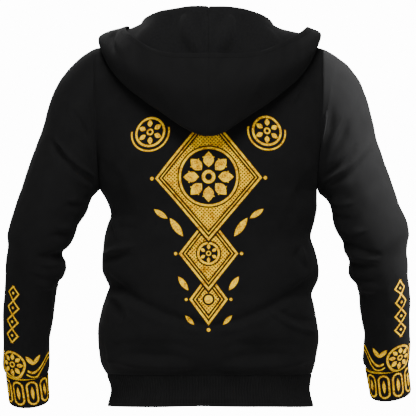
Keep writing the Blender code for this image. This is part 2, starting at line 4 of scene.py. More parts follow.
import bpy
import numpy as np
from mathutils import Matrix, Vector


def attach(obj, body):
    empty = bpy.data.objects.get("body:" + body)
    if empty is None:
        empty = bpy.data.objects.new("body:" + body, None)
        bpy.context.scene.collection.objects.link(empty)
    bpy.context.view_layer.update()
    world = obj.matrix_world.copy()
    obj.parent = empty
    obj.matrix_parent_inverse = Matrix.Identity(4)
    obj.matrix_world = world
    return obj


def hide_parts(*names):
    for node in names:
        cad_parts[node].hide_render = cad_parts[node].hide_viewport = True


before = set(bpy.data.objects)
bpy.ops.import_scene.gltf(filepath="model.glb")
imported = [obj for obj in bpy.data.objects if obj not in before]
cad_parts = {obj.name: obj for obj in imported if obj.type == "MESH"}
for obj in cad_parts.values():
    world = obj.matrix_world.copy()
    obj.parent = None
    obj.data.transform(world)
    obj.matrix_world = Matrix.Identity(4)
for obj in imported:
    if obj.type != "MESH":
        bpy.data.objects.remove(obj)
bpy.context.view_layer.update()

# The camera: the photograph's frame is FRAME_WIDTH wide at the plane of the side seams
PIXEL = 0.00175
FRAME_PIXELS = 416
FRAME_WIDTH = FRAME_PIXELS * PIXEL
CAMERA_DISTANCE = 12.0
SENSOR = 36.0  # mm
VIEW_CENTRE_X = -0.001
VIEW_CENTRE_H = 0.3465

# Sizes repeated from the solids, in metres; heights are measured from the hem's lower edge
NECK_LEVEL = 0.655
HEM_SEAM = 0.0565
ARMPIT = 0.378
SHOULDER_TIP = 0.625
NECK_HALF_WIDTH = 0.084
BACK_NECK = 0.645
FRONT_NECK = 0.590
NECK_SHARE = 0.5  # how much of a panel's top edge is neck, the rest is shoulders
NECK_CURVE = 1.5
ARMHOLE_DEPTH = 0.064
ARMPIT_X = 0.190
SHOULDER_TIP_X = 0.201
SECTION_POWER = 2.4
CHEST_POWER = 2.2
CHEST_FROM = 0.35  # up this share of the armholes the section changes into the chest's
TOP_FROM = 0.7  # and from this share on into the top edge
HEM_RIBS = 192
CUFF_RIBS = 48
CUFF_LENGTH = 0.056
CUFF_TIP_SHARE = 0.95
HOOD_CENTRE_Y = 0.010
ROLL_WIDTH = 0.016
FOLD_WIDTH = 0.012
BOWL_CLEARANCE = 0.012
BELLY = 0.020

# The tables are in millimetres, apart from angles, in degrees, and the shares named full
MM_PER_METRE = 1000
NOT_LENGTHS = ("angle", "full")
SIDE_COLUMNS = ("height", "left", "right")
SIDES = (
    (56.5, 179, 181), (73.5, 188, 186), (94.5, 191.7, 189.8), (115.5, 193.5, 193),
    (136.5, 193.5, 191.5), (157.5, 190, 188), (178.5, 184.7, 184.2), (196.5, 178.5, 180.8),
    (209, 174.5, 186), (220.5, 179.5, 191.5), (233, 185.2, 193.3), (252, 186.7, 191.5),
    (273, 185, 186.3), (296, 182.5, 179), (317, 177, 182.8), (336, 171, 188),
    (346.5, 173.5, 189.8), (359, 178.5, 189.8), (378, 190, 190),
)
DEPTH_COLUMNS = ("height", "back", "front")
DEPTHS = (
    (56.5, 127, 121), (79, 138, 130), (112, 143, 134), (145, 141, 134), (206, 133, 130),
    (275, 126, 130), (342, 128, 135), (378, 131, 138), (440, 132, 139), (500, 125, 134),
    (560, 111, 116), (590, 98, 90), (620, 79, 90), (645, 58, 90),
)
HEM_COLUMNS = ("height", "left", "right", "back", "front")
HEM = (
    (0, 177.2, 184.2, 126, 119), (30, 171.2, 177.5, 123, 117), (56.2, 179, 181, 127, 121),
)
SLEEVE_COLUMNS = ("outer_x", "outer_h", "inner_x", "inner_h", "middle_y", "half_depth")
SLEEVE_LEFT = (
    (201, 625, 190, 378, 0, 64), (225, 609, 192.5, 376.5, -2, 66),
    (249, 584, 194.5, 374.5, -5, 67), (266.5, 557, 197, 372, -8, 68),
    (278.5, 525, 199.5, 369, -11, 68), (288, 492, 202.5, 366, -14, 67),
    (302, 455, 205.5, 360, -18, 66), (313, 422, 208, 353, -22, 65),
    (324.7, 385, 210.5, 344, -26, 64), (336, 355, 216.5, 333, -29, 63),
    (346, 322, 225.5, 319, -31, 62), (351, 301, 232, 300, -31, 61),
    (350.3, 285, 239.5, 285, -30, 60), (351.5, 270, 253, 270, -28, 58),
    (353.5, 258, 252.8, 258, -25.5, 56.5), (354.5, 243, 248, 243, -22, 55),
    (355, 230, 252, 230, -18, 53), (355.7, 218, 261.5, 218, -14, 51.5),
    (357, 200, 265, 200, -8, 50), (359.7, 176, 269, 176, 1, 47),
    (360.5, 148, 273.7, 148, 12, 46), (360.8, 120, 278.5, 120, 23, 45),
    (361.5, 92, 277.8, 92, 34, 44), (361.2, 70, 279, 70, 42, 43),
    (357.5, 60, 281.2, 60, 46, 38.5),
)
SLEEVE_RIGHT = (
    (201, 625, 190, 378, 0, 64), (226, 611, 192.5, 374, -2, 66),
    (246, 593, 195, 370.5, -5, 67), (264, 567.5, 198.5, 367.5, -8, 68),
    (276.5, 536, 202, 364.5, -11, 68), (286, 503, 205.5, 361.5, -14, 67),
    (294, 467, 208.5, 358, -18, 66), (306, 432, 211.5, 353, -22, 65),
    (319, 393, 214, 344, -26, 64), (331.5, 357, 215, 331, -29, 63),
    (346, 324, 218.5, 315, -31, 62), (350.7, 302, 225, 302, -31, 61),
    (348.5, 288, 233.5, 288, -30, 60), (346.3, 272, 237.5, 272, -28, 58),
    (347, 258, 243.5, 258, -25.5, 56.5), (348.5, 242, 244, 242, -22, 55),
    (349, 228, 245, 228, -18, 53), (350.5, 214, 257, 214, -13, 51.2),
    (351.8, 200, 261.2, 200, -8, 50), (353, 178, 265, 178, 1, 47),
    (353, 152, 269.5, 152, 12, 46), (353.5, 128, 273.2, 128, 22, 45),
    (354.2, 104, 271.5, 104, 32, 44), (352.5, 82, 269.5, 82, 40, 43),
    (351.5, 72, 273.5, 72, 44, 38.5),
)
HOOD_COLUMNS = ("angle", "roll_out", "roll_h", "fold_out", "fold_h", "lip_out", "lip_h", "full")
HOOD_LEFT = (
    (0, 80, 695.5, 168, 472, 171, 615, 1.0), (30, 86, 695, 171, 514, 167, 619, 1.0),
    (60, 100, 687.5, 184, 575, 161, 652, 0.9), (90, 114, 672, 186, 640, 139, 664.5, 0.5),
    (120, 112, 648, 157, 590, 146, 624, 0.6), (150, 106, 622, 128, 574, 126, 596, 0.4),
    (180, 86, 606, 98, 590, 100, 602, 0.2),
)
HOOD_RIGHT = (
    (0, 80, 695.5, 168, 472, 171, 615, 1.0), (30, 86, 694.5, 171, 516, 168, 618, 1.0),
    (60, 98, 685.5, 184, 576, 172, 647, 0.9), (90, 110, 668, 190, 640, 172, 664, 0.5),
    (120, 112, 646, 158, 590, 152, 622, 0.6), (150, 106, 622, 128, 574, 126, 596, 0.4),
    (180, 86, 606, 98, 590, 100, 602, 0.2),
)

# The creases: start and end as seen from behind, how far the middle bows to the left of the way
# from start to end, width, and depth. A positive depth is a trough, a negative one a ridge.
CREASE_COLUMNS = ("x0", "h0", "x1", "h1", "bow", "width", "depth")
BACK_CREASES = (
    (-172, 338, -159, 290, 2, 4.8, -4), (-183, 265, -132, 279, 1, 6.2, -5.8),
    (-185, 252, -136, 265, 3, 7.5, 4.5), (-183, 234, 0, 143, -18, 15, 10),
    (-150, 185, -10, 133, -7, 13, -6.2), (188, 231, 10, 143, 16, 15, 10),
    (148, 185, 20, 133, 7, 13, -6), (-168, 193, -142, 157, 7, 6, -5.5),
    (-180, 188, -152, 152, 6, 8, 4.5), (-174, 185, -175, 150, -3, 5, -3),
    (-148, 111, -46, 109, -3, 19, 7), (-142, 92, -50, 90, -3, 17, 7),
    (144, 111, 44, 109, 3, 19, 7), (140, 92, 48, 90, 3, 17, 7),
    (-180, 115, -170, 65, 3, 6, -3), (-180, 83, -35, 71, -4, 10, -6.2),
    (30, 71, 178, 82, -4, 10, -6.2), (-50, 64, 70, 64, -3, 8, 3.5),
    (184, 362, 178, 300, 2, 5, -3.6), (164, 280, 169, 250, -2, 4.5, -4.8),
    (156, 276, 174, 238, -4, 8, 4.5), (108, 168, 185, 130, -7, 6.2, -5.8),
    (128, 168, 182, 150, -6, 9, 4), (184, 298, 140, 260, 6, 12, 3),
    (-180, 298, -130, 312, 6, 12, 2.5), (158, 552, 143, 529, 2, 4.5, -2.8),
    (162, 548, 150, 526, 2, 4.5, 2.2), (-185, 428, -142, 350, 8, 12, 3),
    (187, 415, 150, 340, -8, 12, 3), (-156, 400, -120, 330, 6, 14, -2.2),
    (156, 390, 124, 320, -6, 14, -2.2),
)
FRONT_CREASES = (
    (-182, 228, 10, 140, -18, 12, 6.5), (186, 222, 20, 135, 16, 12, 7),
    (-150, 184, -10, 134, -7, 13, -4.5), (146, 180, 30, 130, 7, 13, -4.5),
    (186, 256, 130, 280, -4, 8.5, -5.5), (182, 245, 130, 266, -4, 8, 4),
    (-182, 270, -150, 248, -4, 7, -5), (-165, 156, -120, 138, 6, 7, -5),
    (-140, 114, -30, 116, -4, 20, 5), (-134, 96, -46, 95, -3, 18, 4.2),
    (150, 116, 35, 112, 4, 20, 5), (142, 97, 44, 95, 3, 18, 4.4),
    (-178, 86, -30, 76, -4, 11, -5), (25, 76, 176, 88, -4, 11, -5),
    (-170, 370, -98, 435, 8, 12, 6), (-150, 348, -80, 406, 6, 11, -3.5),
    (172, 365, 100, 440, -8, 12, 5), (150, 342, 85, 402, -6, 11, -3.5),
    (-178, 330, -120, 290, 4, 12, 3.5), (180, 320, 125, 295, -4, 12, 3),
    (-125, 560, -55, 528, 10, 11, -2.5), (122, 554, 60, 526, -10, 11, -2.5),
)
SLEEVE_CREASES_LEFT = (
    (-205.6, 594, -204.6, 572, 1, 4.5, -2.8),
    (-211, 536, -197, 460, 4, 4.2, -4.2), (-234, 514, -196, 432, 4, 7, 4.4),
    (-223, 476, -198, 425, 3, 9, -3.5), (-267, 466, -194, 399, -7, 4.6, -5),
    (-276, 464, -202, 390, -8, 7.5, 4.4), (-274, 466, -246, 430, -2, 7.5, 4),
    (-256, 428, -204, 382, -4, 11, -3), (-206, 368, -248, 350, 4, 8, 3.4),
    (-212, 358, -242, 360, 3, 7, -3.5), (-225, 317, -274, 298, 5, 8, 3.6),
    (-232, 308, -264, 314, 4, 7, -3.8), (-248, 272, -294, 263, 4, 8, 3.6),
    (-244, 256, -286, 247, 3, 8, -3.8), (-260, 222, -306, 231, 5, 7.5, 3.4),
    (-262, 212, -296, 212, 3, 8, -3), (-274, 206, -285, 110, 3, 6, -2.8),
    (-326, 190, -302, 126, -3, 12, 2), (-284, 126, -290, 86, 1, 6, -3.5),
    (-308, 390, -276, 348, 4, 16, -2),
)
SLEEVE_CREASES_RIGHT = (
    (232.5, 501, 198.5, 446, 2, 4.2, -2.6), (213, 518, 200, 456, -2, 8, 7.2),
    (242, 496, 206, 430, 3, 8, 5.5), (283, 462, 195, 389, 8, 4.2, -3.4),
    (256, 456, 200, 402, 6, 7, 5), (283, 445, 215, 386, 6, 8, 5.8),
    (256, 420, 210, 380, 4, 11, -3), (214, 356, 245, 354, -3, 8, -3),
    (213, 338, 246, 329, -4, 7.5, 3), (230, 305, 268, 306, -4, 8.5, -3.5),
    (236, 289, 296, 267, -5, 8, 4.2), (242, 270, 286, 256, -3, 8, -3.5),
    (244, 252, 286, 245, -3, 7, 4.2), (246, 228, 286, 219, -4, 7.5, 4.2),
    (260, 208, 296, 204, -3, 8.5, -2.8), (266, 200, 279, 115, -3, 5.5, -2.8),
    (326, 190, 302, 130, 3, 12, 2), (300, 382, 272, 344, -4, 16, -2),
)

# In the hood's creases x is the angle round the neck, and h the way from the neck seam
HOOD_CREASES_LEFT = (
    (0, 195, 0, 85, 0, 12, 11), (-10, 74, -4.5, 150, 0, 4.2, -3.6),
    (-25, 76, -10.8, 148, 1, 5.6, 11.5), (-38, 72, -30, 150, 1, 8, -4.6),
    (-62, 80, -52, 150, 0, 8, 3), (-80, 85, -68, 145, 0, 9, -2.5),
    (-20, 300, -60, 420, 4, 12, -1.5), (-60, 310, -90, 400, 4, 14, 2),
    (-100, 200, -110, 300, 0, 12, -2), (-120, 20, -100, 80, 0, 12, 1.5),
    (-72.8, 203.6, -52, 269, 1.7, 2, -4.4),
    (-75.9, 183.9, -56, 250, 1.7, 2.8, 6.4),
)
HOOD_CREASES_RIGHT = (
    (0, 195, 0, 85, 0, 12, 11), (9.5, 74, 4.2, 150, 0, 4.2, -3.6),
    (22.8, 76, 9.8, 148, -1, 5.6, 11.5), (35, 72, 28, 150, -1, 8, -4.4),
    (58, 80, 50, 150, 0, 8, 2.6), (76, 85, 64, 145, 0, 9, -2.5),
    (20, 300, 60, 420, -4, 12, -1.5), (58, 310, 86, 400, -4, 14, 2),
    (104, 200, 112, 300, 0, 12, -2), (118, 20, 102, 80, 0, 12, 1.5),
)
STEEP_SIDE = 0.55  # width of the side of a crease that hangs over, against its gentle side
CREASE_NARROW = 0.7  # share of its width that a crease has at its ends
CREASE_SWELL = 0.6  # and how much is added at its middle
CREASE_END = 0.35  # share of its depth at its ends
CREASE_ROUND = 0.8
HIDDEN_SHARE = 0.8  # depth of a sleeve's creases in front, against those behind
TURN_SHARPNESS = 1.5  # how fast they change over at the sleeve's sides

# Where the creases fade out, as distances from the seams and edges
PANEL_FADE = 0.012
SIDE_FADE_POWER = 8
ARMHOLE_FADE = (0.010, 0.040)
CUFF_FADE = 0.016
THROAT_FADE = 0.010
NECK_FADE = 0.008
LIP_FADE = 0.006

# The faint unevenness of the cloth: wavelength and share of each size of wave
WAVES = ((0.110, 1.0), (0.062, 0.7), (0.034, 0.4), (0.021, 0.22))
WAVES_EACH = 4
PANEL_UNEVEN = 0.0011
SLEEVE_UNEVEN = 0.0010
HOOD_UNEVEN = 0.0008
HEM_RIPPLE = 0.0012
RIPPLE_LENGTH = 0.36
SMALL_RIPPLE = 0.3
SMALL_RIPPLE_TURN = 47  # radians for each metre across
HOOD_SEED = 31

# The hood's profile leaves its roll and its fold in these directions: outward, upward
OVER_ROLL = (1.0, -1.1)
BEFORE_FOLD = (-1.0, 0.9)
AFTER_FOLD = (0.8, 1.1)
STAND_HOLLOW = 0.1
BOWL_IN_FRONT = -0.3
SEAM_GROOVE = 0.0038  # how deep the hood's centre seam sinks into its lining
SEAM_GROOVE_REACH = 0.0028
LINING_FROM = (0.030, 0.050)  # the groove sets in and ends this far from the neck seam
LINING_TO = (0.150, 0.180)

# How fine the shells are: steps in a stretch, with its length in metres
PANEL_ACROSS = (170, 0.45)
PANEL_BELOW = (112, 0.325)
PANEL_ABOVE = (88, 0.29)
SLEEVE_AROUND = 124
SLEEVE_ALONG = (220, 0.62)
HOOD_ROUND = (104, 0.36)
HOOD_STAND = (16, 0.07)
HOOD_BOWL = 52
HOOD_FACE = (34, 0.16)
HEM_ROWS = 18
HEM_POINTS = 2400
CUFF_ROWS = 16
POINTS_PER_RIB = 8
SHARP_ANGLE = 60

SHELL = 0.0018  # one layer of fleece in the shells
RIB_SHELL = 0.0020
RIB_DEPTH = 0.0011
RIB_ROUND = 0.7
RIB_END = 0.35  # share of its depth that a rib has at a band's ends
RIB_END_REACH = 0.004
FRINGES = (0.0, 0.0003, 0.0008, 0.0016, 0.0026)  # rows close to a cut edge
FRINGE_CLEAR = 1.3
TURN_IN = 0.0008  # how far the outer face bends in at a cut edge
TURN_OUT = 0.0006  # how far the inner face bends out there
BAND_TUCK = 0.0012  # how far a band's edge lies under the fleece that is sewn to it
TUCK_REACH = 0.0060
SEAM_LAP = 0.0020  # how far a band runs on under the fleece past its seam
ARMHOLE_STITCH = 0.0040  # how far each row of stitches lies from its seam or edge
ARMHOLE_STITCH_FROM = 0.004  # the rows start this far above the armpit
BAND_STITCH = 0.0045
LIP_STITCH = 0.0090
THREAD_LIFT = 0.0001
STITCH = {"Stitch pitch": 0.0034, "Stitch length": 0.0026, "Thread radius": 0.00034}

# The knit and the ink
WALE = 0.00125
COURSE = 0.00105
FLEECE = (0.0061, 0.0061, 0.0062)
NAP = (0.0064, 0.0064, 0.0066)
RIB = (0.0065, 0.0065, 0.0066)
FLEECE_LOOK = {
    "bump": {"Strength": 0.5, "Distance": 0.0004},
    "shader": {"Roughness": 0.92, "Specular IOR Level": 0.03, "Sheen Weight": 0.012,
               "Sheen Roughness": 0.5},
}
NAP_LOOK = {
    "bump": {"Strength": 0.6, "Distance": 0.0007},
    "shader": {"Roughness": 1.0, "Specular IOR Level": 0.02, "Sheen Weight": 0.02,
               "Sheen Roughness": 0.6},
}
THREAD_COLOURS = ((0.0030, 0.0030, 0.0031, 1), (0.0065, 0.0065, 0.0067, 1))
THREAD_TWIST = {"Scale": 900.0, "Distortion": 1.5}
THREAD_LOOK = {"Roughness": 0.8, "Specular IOR Level": 0.05}
GOLD_STOPS = (
    (0.35, (0.160, 0.055, 0.0004)),
    (0.43, (0.520, 0.230, 0.0004)),
    (0.50, (0.860, 0.470, 0.0006)),
    (0.57, (0.980, 0.620, 0.0010)),
    (0.66, (1.000, 0.780, 0.0150)),
)
RIM_COLOUR = (0.090, 0.040, 0.006)
# Painted shade: the dark colour of the line along the hood's centre seam inside, standing for the
# shadow in the seam's gap
SEAM_SHADE_COLOUR = (0.0016, 0.0016, 0.0017)
SEAM_SHADE_HALF_WIDTH = 0.0022  # half the width of the painted shade along the hood's centre seam, inside: a dark line for the shadow in the seam's gap

# Each noise has a scale, a detail and a roughness
FUZZ = (1900.0, 3.0, 0.6)
WEAR = (28.0, 4.0, 0.6)
TUFTS = (260.0, 5.0, 0.72)
FIBRES = (1500.0, 2.0, 0.6)
PATCHES = (80.0, 3.0, 0.65)
GRAINS = (330.0, 3.0, 0.75)

# The ornament's lines: half their widths, and how far each lies in from a lozenge's edge
BOLD = 0.0021
FINE = 0.0011
THIN = 0.0016
BOLD_INSET = 0.0024
FINE_INSET = 0.0082
MESH_INSET = 0.0118
MESH_PITCH = 0.0062
MESH_HOLE = 0.0013
LOZENGE_GAP = 0.0026
ROSETTE_GAP = 0.0020
BEAD_GAP = 0.0030
PETAL_GAP = 0.0009
PETALS = (0.30, 0.86, 0.20)  # from, to and half width, against a rosette's radius
EYE = (0.17, 0.06)
EDGE_BLUR = 0.0004
RIM_WIDTH = 0.0007

# The back's ornament, mirrored across the centre line. Lozenges: height, half width, half
# height, radius of the rosette or bead in the middle and its petals. Leaves: distance out,
# height, half length, half width, angle. Beads: distance out, height, radius.
BACK_LOZENGES = (
    (0.192, 0.034, 0.046, 0.0075, 0),
    (0.272, 0.052, 0.066, 0.0200, 6),
    (0.405, 0.094, 0.112, 0.0520, 8),
)
BEAD_RING = (24, 0.0350, 0.0014)
BEAD_RING_REACH = 0.044
SIDE_PLACE = (0.1020, 0.4880)
SIDE_ROSETTE = (0.0270, 6)
SIDE_ARC = 0.0335
SIDE_ARC_TOP = 0.006
BACK_LEAVES = (
    (0.0560, 0.3180, 0.0200, 0.0062, 0.95),
    (0.0440, 0.2200, 0.0150, 0.0050, 0.95),
    (0.0840, 0.3420, 0.0150, 0.0048, 0.60),
    (0.0330, 0.1560, 0.0110, 0.0038, 0.80),
)
BACK_BEADS = (
    (0.0990, 0.4050, 0.0034),
    (0.0572, 0.2720, 0.0030),
    (0.0388, 0.1920, 0.0027),
    (0.0000, 0.1390, 0.0034),
)

# The sleeves' ornament, in heights above the cuff's free edge
SLEEVE_ORNAMENT_U = 0.042
CHAIN_MIDDLE = 0.100
CHAIN_PITCH = 0.0260
CHAIN_LEAN = 0.90
CHAIN_ENDS = (0.1245, 0.2315)
CHAIN_BEAD = 0.0026
CHAIN_BEAD_AT = 0.113
CHAIN_BEAD_ENDS = (0.126, 0.226)
WREATH_AT = 0.0830
WREATH = (0.0260, 8)
WAVE_CLEAR = 0.0310
WAVE_PITCH = 0.0780
WAVE_HEIGHT = 0.014
SECOND_WAVE = 0.0085
WAVE_LEAF_PLACE = (0.0330, 0.0930)
WAVE_LEAF = (0.0120, 0.0042, -0.9)
LOOP_AT = 0.0265
LOOP_STRAIGHT = 0.0120
LOOP_RADIUS = 0.0092
LOOP_LINE = 0.0018
LOOP_LEAF = (0.0130, 0.0032, math.pi / 2)
CUFF_LINE_AT = 0.0540

# The studio: each light's name, place, aim, size and power
ROOM_LIGHT = 0.20
BACKDROP_LIGHT = 14.0
FLOOR_Z = -1.10
FLOOR_SIZE = 6.0
FLOOR_LOOK = {"Base Color": (0.86, 0.86, 0.86, 1), "Roughness": 0.9}
LIGHTS = (
    ("top", (0.12, -1.9, 2.2), (0.0, -0.1, -0.20), 1.8, 155.0),
    ("left", (-2.2, -1.3, 0.9), (-0.1, 0.0, -0.30), 1.0, 9.0),
    ("fill", (0.9, -3.9, 0.3), (0.0, 0.0, -0.30), 2.0, 26.0),
    ("behind", (-0.35, 1.8, 1.5), (0.0, 0.0, -0.05), 1.0, 88.0),
)
KEY = {"place": (1.38, -0.50, 1.15), "target": (0.29, 0.0, -0.08), "size": 0.35, "power": 1240.0,
       "cone": 0.60}
KEY_LIT = ("sleeve_right", "cuff_right")


def column(table, columns, name):
    """One column of a table, with lengths in metres."""
    values = np.array([row[columns.index(name)] for row in table], float)
    return values if name in NOT_LENGTHS else values / MM_PER_METRE


def through(stations, values, at):
    """Reads a smooth curve that passes through the values at the stations."""
    steps = np.diff(stations)
    slopes = np.diff(values) / steps
    inner = (slopes[:-1] * steps[1:] + slopes[1:] * steps[:-1]) / (steps[1:] + steps[:-1])
    tangents = np.concatenate([slopes[:1], inner, slopes[-1:]])
    at = np.asarray(at, float)
    i = np.clip(np.searchsorted(stations, at, side="right") - 1, 0, len(steps) - 1)
    f = (at - stations[i]) / steps[i]
    rise = f * f * (3 - 2 * f)
    leave = f * (1 - f) ** 2 * steps[i] * tangents[i]
    arrive = f * f * (f - 1) * steps[i] * tangents[i + 1]
    return values[i] * (1 - rise) + values[i + 1] * rise + leave + arrive


def smoothstep(low, high, at):
    f = np.clip((at - low) / (high - low), 0, 1)
    return f * f * (3 - 2 * f)


def unit(vectors):
    return vectors / np.maximum(np.linalg.norm(vectors, axis=-1, keepdims=True), 1e-12)


def closed(grid, axis=0):
    """The grid with its first row or column again at the end."""
    return np.concatenate([grid, np.take(grid, [0], axis)], axis)


def interpolated(at, stations, points):
    return np.stack([np.interp(at, stations, points[:, k]) for k in range(3)], axis=-1)


def fuller(values):
    """Sines or cosines changed for a section that is fuller than an ellipse."""
    return np.sign(values) * np.abs(values) ** (2 / SECTION_POWER)


def body_size(name, heights):
    """The half width on one side, or the depth of one face, at heights on the body."""
    table, columns = (SIDES, SIDE_COLUMNS) if name in SIDE_COLUMNS else (DEPTHS, DEPTH_COLUMNS)
    return through(column(table, columns, "height"), column(table, columns, name), heights)


def armhole(side, turn, face):
    """Points of one armhole seam: side -1 left, +1 right; turn 0 armpit, pi shoulder tip."""
    middle = (ARMPIT + SHOULDER_TIP) / 2
    reach = (SHOULDER_TIP - ARMPIT) / 2
    heights = middle - reach * np.cos(turn)
    widening = smoothstep(ARMPIT, SHOULDER_TIP, heights)
    x = side * (ARMPIT_X + (SHOULDER_TIP_X - ARMPIT_X) * widening)
    return np.stack([x, face * ARMHOLE_DEPTH * np.sin(turn), heights], axis=-1)


def crease_depths(places, creases):
    """How deep the creases press in at each of the places, which have two coordinates."""
    depths = np.zeros(places.shape[:-1])
    for row in creases:
        crease = dict(zip(CREASE_COLUMNS, np.array(row) / MM_PER_METRE))
        start = np.array([crease["x0"], crease["h0"]])
        run = np.array([crease["x1"], crease["h1"]]) - start
        length = np.hypot(*run)
        ahead = run / length
        aside = np.array([-ahead[1], ahead[0]])
        away = places - start
        along = away @ ahead
        share = np.clip(along / length, 0, 1)
        off_line = away @ aside - crease["bow"] * 4 * share * (1 - share)
        past = along - share * length
        upward = 1 if aside[1] > 0 else -1
        overhung = off_line * upward * crease["depth"] > 0
        width = crease["width"] * np.where(overhung, STEEP_SIDE, 1.0)
        middle = np.sin(np.pi * share)
        near = np.hypot(off_line, past) / (width * (CREASE_NARROW + CREASE_SWELL * middle))
        ends = CREASE_END + (1 - CREASE_END) * middle**CREASE_ROUND
        depths += crease["depth"] * ends * np.exp(-near * near)
    return depths


def undulation(points, seed, amplitude):
    """A faint unevenness of the cloth: a few sine waves in directions drawn from the seed."""
    draw = np.random.default_rng(seed)
    total = np.zeros(points.shape[:-1])
    for wavelength, share in WAVES:
        for _ in range(WAVES_EACH):
            direction = unit(draw.normal(size=3)) * 2 * np.pi / wavelength
            total += share * np.sin(points @ direction + draw.uniform(0, 2 * np.pi))
    return total * amplitude / WAVES_EACH


def grid_normals(points, around=False):
    """Normals of a grid of points; rows run up and columns run round to the right."""
    up = np.gradient(points, axis=0)
    if around:
        across = (np.roll(points, -1, axis=1) - np.roll(points, 1, axis=1)) / 2
    else:
        across = np.gradient(points, axis=1)
    return unit(np.cross(across, up))


def sampled(low, high, count, metres, fringe_low=True, fringe_high=True):
    """Even samples from low to high, with a few close to the ends; metres is the whole length."""
    inside = np.linspace(low, high, count + 1)
    close = np.array(FRINGES) / metres * (high - low)
    clear = FRINGE_CLEAR * close[-1]
    parts = [inside[(inside > low + clear) & (inside < high - clear)]]
    parts.append(low + close if fringe_low else [low, low + close[-1]])
    parts.append(high - close if fringe_high else [high, high - close[-1]])
    return np.unique(np.round(np.concatenate(parts), 9))


def pressed(points, press, way, around=False):
    """The points moved in by what is pressed, with their new normals."""
    points = points - grid_normals(points, around) * way * press[..., None]
    return points, grid_normals(points, around) * way


def near_edges(points, around):
    """How near each point is to a cut edge: 1 on it, 0 from the last of the fringes on."""
    edges = [points[:1], points[-1:]]
    if not around:
        edges += [points[:, :1], points[:, -1:]]
    share = np.zeros(points.shape[:-1])
    for edge in edges:
        away = np.linalg.norm(points - edge, axis=-1)
        share = np.maximum(share, 1 - smoothstep(0, FRINGES[-1], away))
    return share


def lengths_along(points, axis):
    """Running length of the grid's lines along an axis."""
    steps = np.linalg.norm(np.diff(points, axis=axis), axis=-1)
    start = np.zeros_like(np.take(steps, [0], axis=axis))
    return np.concatenate([start, np.cumsum(steps, axis=axis)], axis=axis)


def panel_columns():
    """Where a panel's columns lie between its left side seam, -1, and its right one, +1."""
    return sampled(-1, 1, *PANEL_ACROSS)


def panel(face, creases, seed):
    """Outer points, normals and cloth coordinates of the back (face -1) or the front (+1)."""
    s = panel_columns()
    rows_at = np.unique(np.concatenate([
        sampled(0, 1, *PANEL_BELOW, fringe_high=False),
        sampled(1, 2, *PANEL_ABOVE, fringe_low=False)]))
    turn = s * np.pi / 2
    width_share = fuller(np.sin(turn))
    depth_share = fuller(np.cos(turn))
    depth_name = "back" if face < 0 else "front"
    neck_height = BACK_NECK if face < 0 else FRONT_NECK
    side = np.where(s < 0, -1, 1)
    neck_turn = np.clip(s / NECK_SHARE, -1, 1) * np.pi / 2
    on_shoulder = np.clip((np.abs(s) - NECK_SHARE) / (1 - NECK_SHARE), 0, 1)
    shoulder_run = SHOULDER_TIP_X - NECK_HALF_WIDTH
    top_x = NECK_HALF_WIDTH * np.sin(neck_turn) + side * shoulder_run * on_shoulder
    top_h = NECK_LEVEL - (NECK_LEVEL - neck_height) * np.abs(np.cos(neck_turn)) ** NECK_CURVE
    top_h = top_h - (NECK_LEVEL - SHOULDER_TIP) * on_shoulder
    top_share = np.where(np.abs(s) < NECK_SHARE, np.cos(neck_turn), 0)
    middle_share = 1 - s * s

    rows = []
    for place in rows_at:
        if place <= 1:
            height = HEM_SEAM + (ARMPIT - HEM_SEAM) * place
            half = np.where(s < 0, body_size("left", height), body_size("right", height))
            y = face * body_size(depth_name, height) * depth_share
            rows.append(np.stack([half * width_share, y, np.full_like(s, height)], axis=-1))
            continue
        t = place - 1
        left, right = (armhole(one, np.pi * t, face) for one in (-1, 1))
        edge = np.where(s[:, None] < 0, left, right)
        centre_height = ARMPIT + (neck_height - ARMPIT) * t
        rounding = smoothstep(0, CHEST_FROM, t)
        share = depth_share * (1 - rounding) + (1 - np.abs(s) ** CHEST_POWER) * rounding
        toward_top = smoothstep(TOP_FROM, 1, t)
        share = share * (1 - toward_top) + top_share * toward_top
        y = edge[:, 1] * (1 - share) + face * body_size(depth_name, centre_height) * share
        h = edge[:, 2] * (1 - middle_share) + centre_height * middle_share
        h_at_top = SHOULDER_TIP * (1 - middle_share) + neck_height * middle_share
        h = h + (top_h - h_at_top) * t**3
        narrowing = smoothstep(0, 1, t)
        x = np.abs(edge[:, 0]) * width_share * (1 - narrowing) + top_x * narrowing
        rows.append(np.stack([np.where(np.abs(s) == 1, edge[:, 0], x), y, h], axis=-1))
    points = np.array(rows)

    across = lengths_along(points, 1)
    across = across - np.array([np.interp(0, s, row) for row in across])[:, None]
    up = HEM_SEAM + lengths_along(points, 0)
    from_ends = np.minimum(up - HEM_SEAM, up[-1:] - up)
    fade = (1 - np.abs(s) ** SIDE_FADE_POWER) * smoothstep(0, PANEL_FADE, from_ends)
    press = crease_depths(points[..., [0, 2]], creases) + undulation(points, seed, PANEL_UNEVEN)
    return *pressed(points, press * fade, -face), np.stack([across, up], axis=-1)


def sleeve_sections(side, table, at):
    """Centres, half widths toward the outer line, and half depths of a sleeve's sections."""
    order = np.arange(len(table), dtype=float)
    values = {name: through(order, column(table, SLEEVE_COLUMNS, name), at)
              for name in SLEEVE_COLUMNS}
    outer, inner = (
        np.stack([side * values[line + "_x"], values["middle_y"], values[line + "_h"]], axis=-1)
        for line in ("outer", "inner"))
    centres = (outer + inner) / 2
    reach = (outer - inner) / 2
    along = unit(np.gradient(centres, axis=0))
    depth = unit(np.cross(reach, along)) * side
    turning = smoothstep(0, 2, at)[:, None]
    depth = unit(np.array([0.0, 1.0, 0.0]) * (1 - turning) + depth * turning)
    return centres, reach, depth * values["half_depth"][:, None]


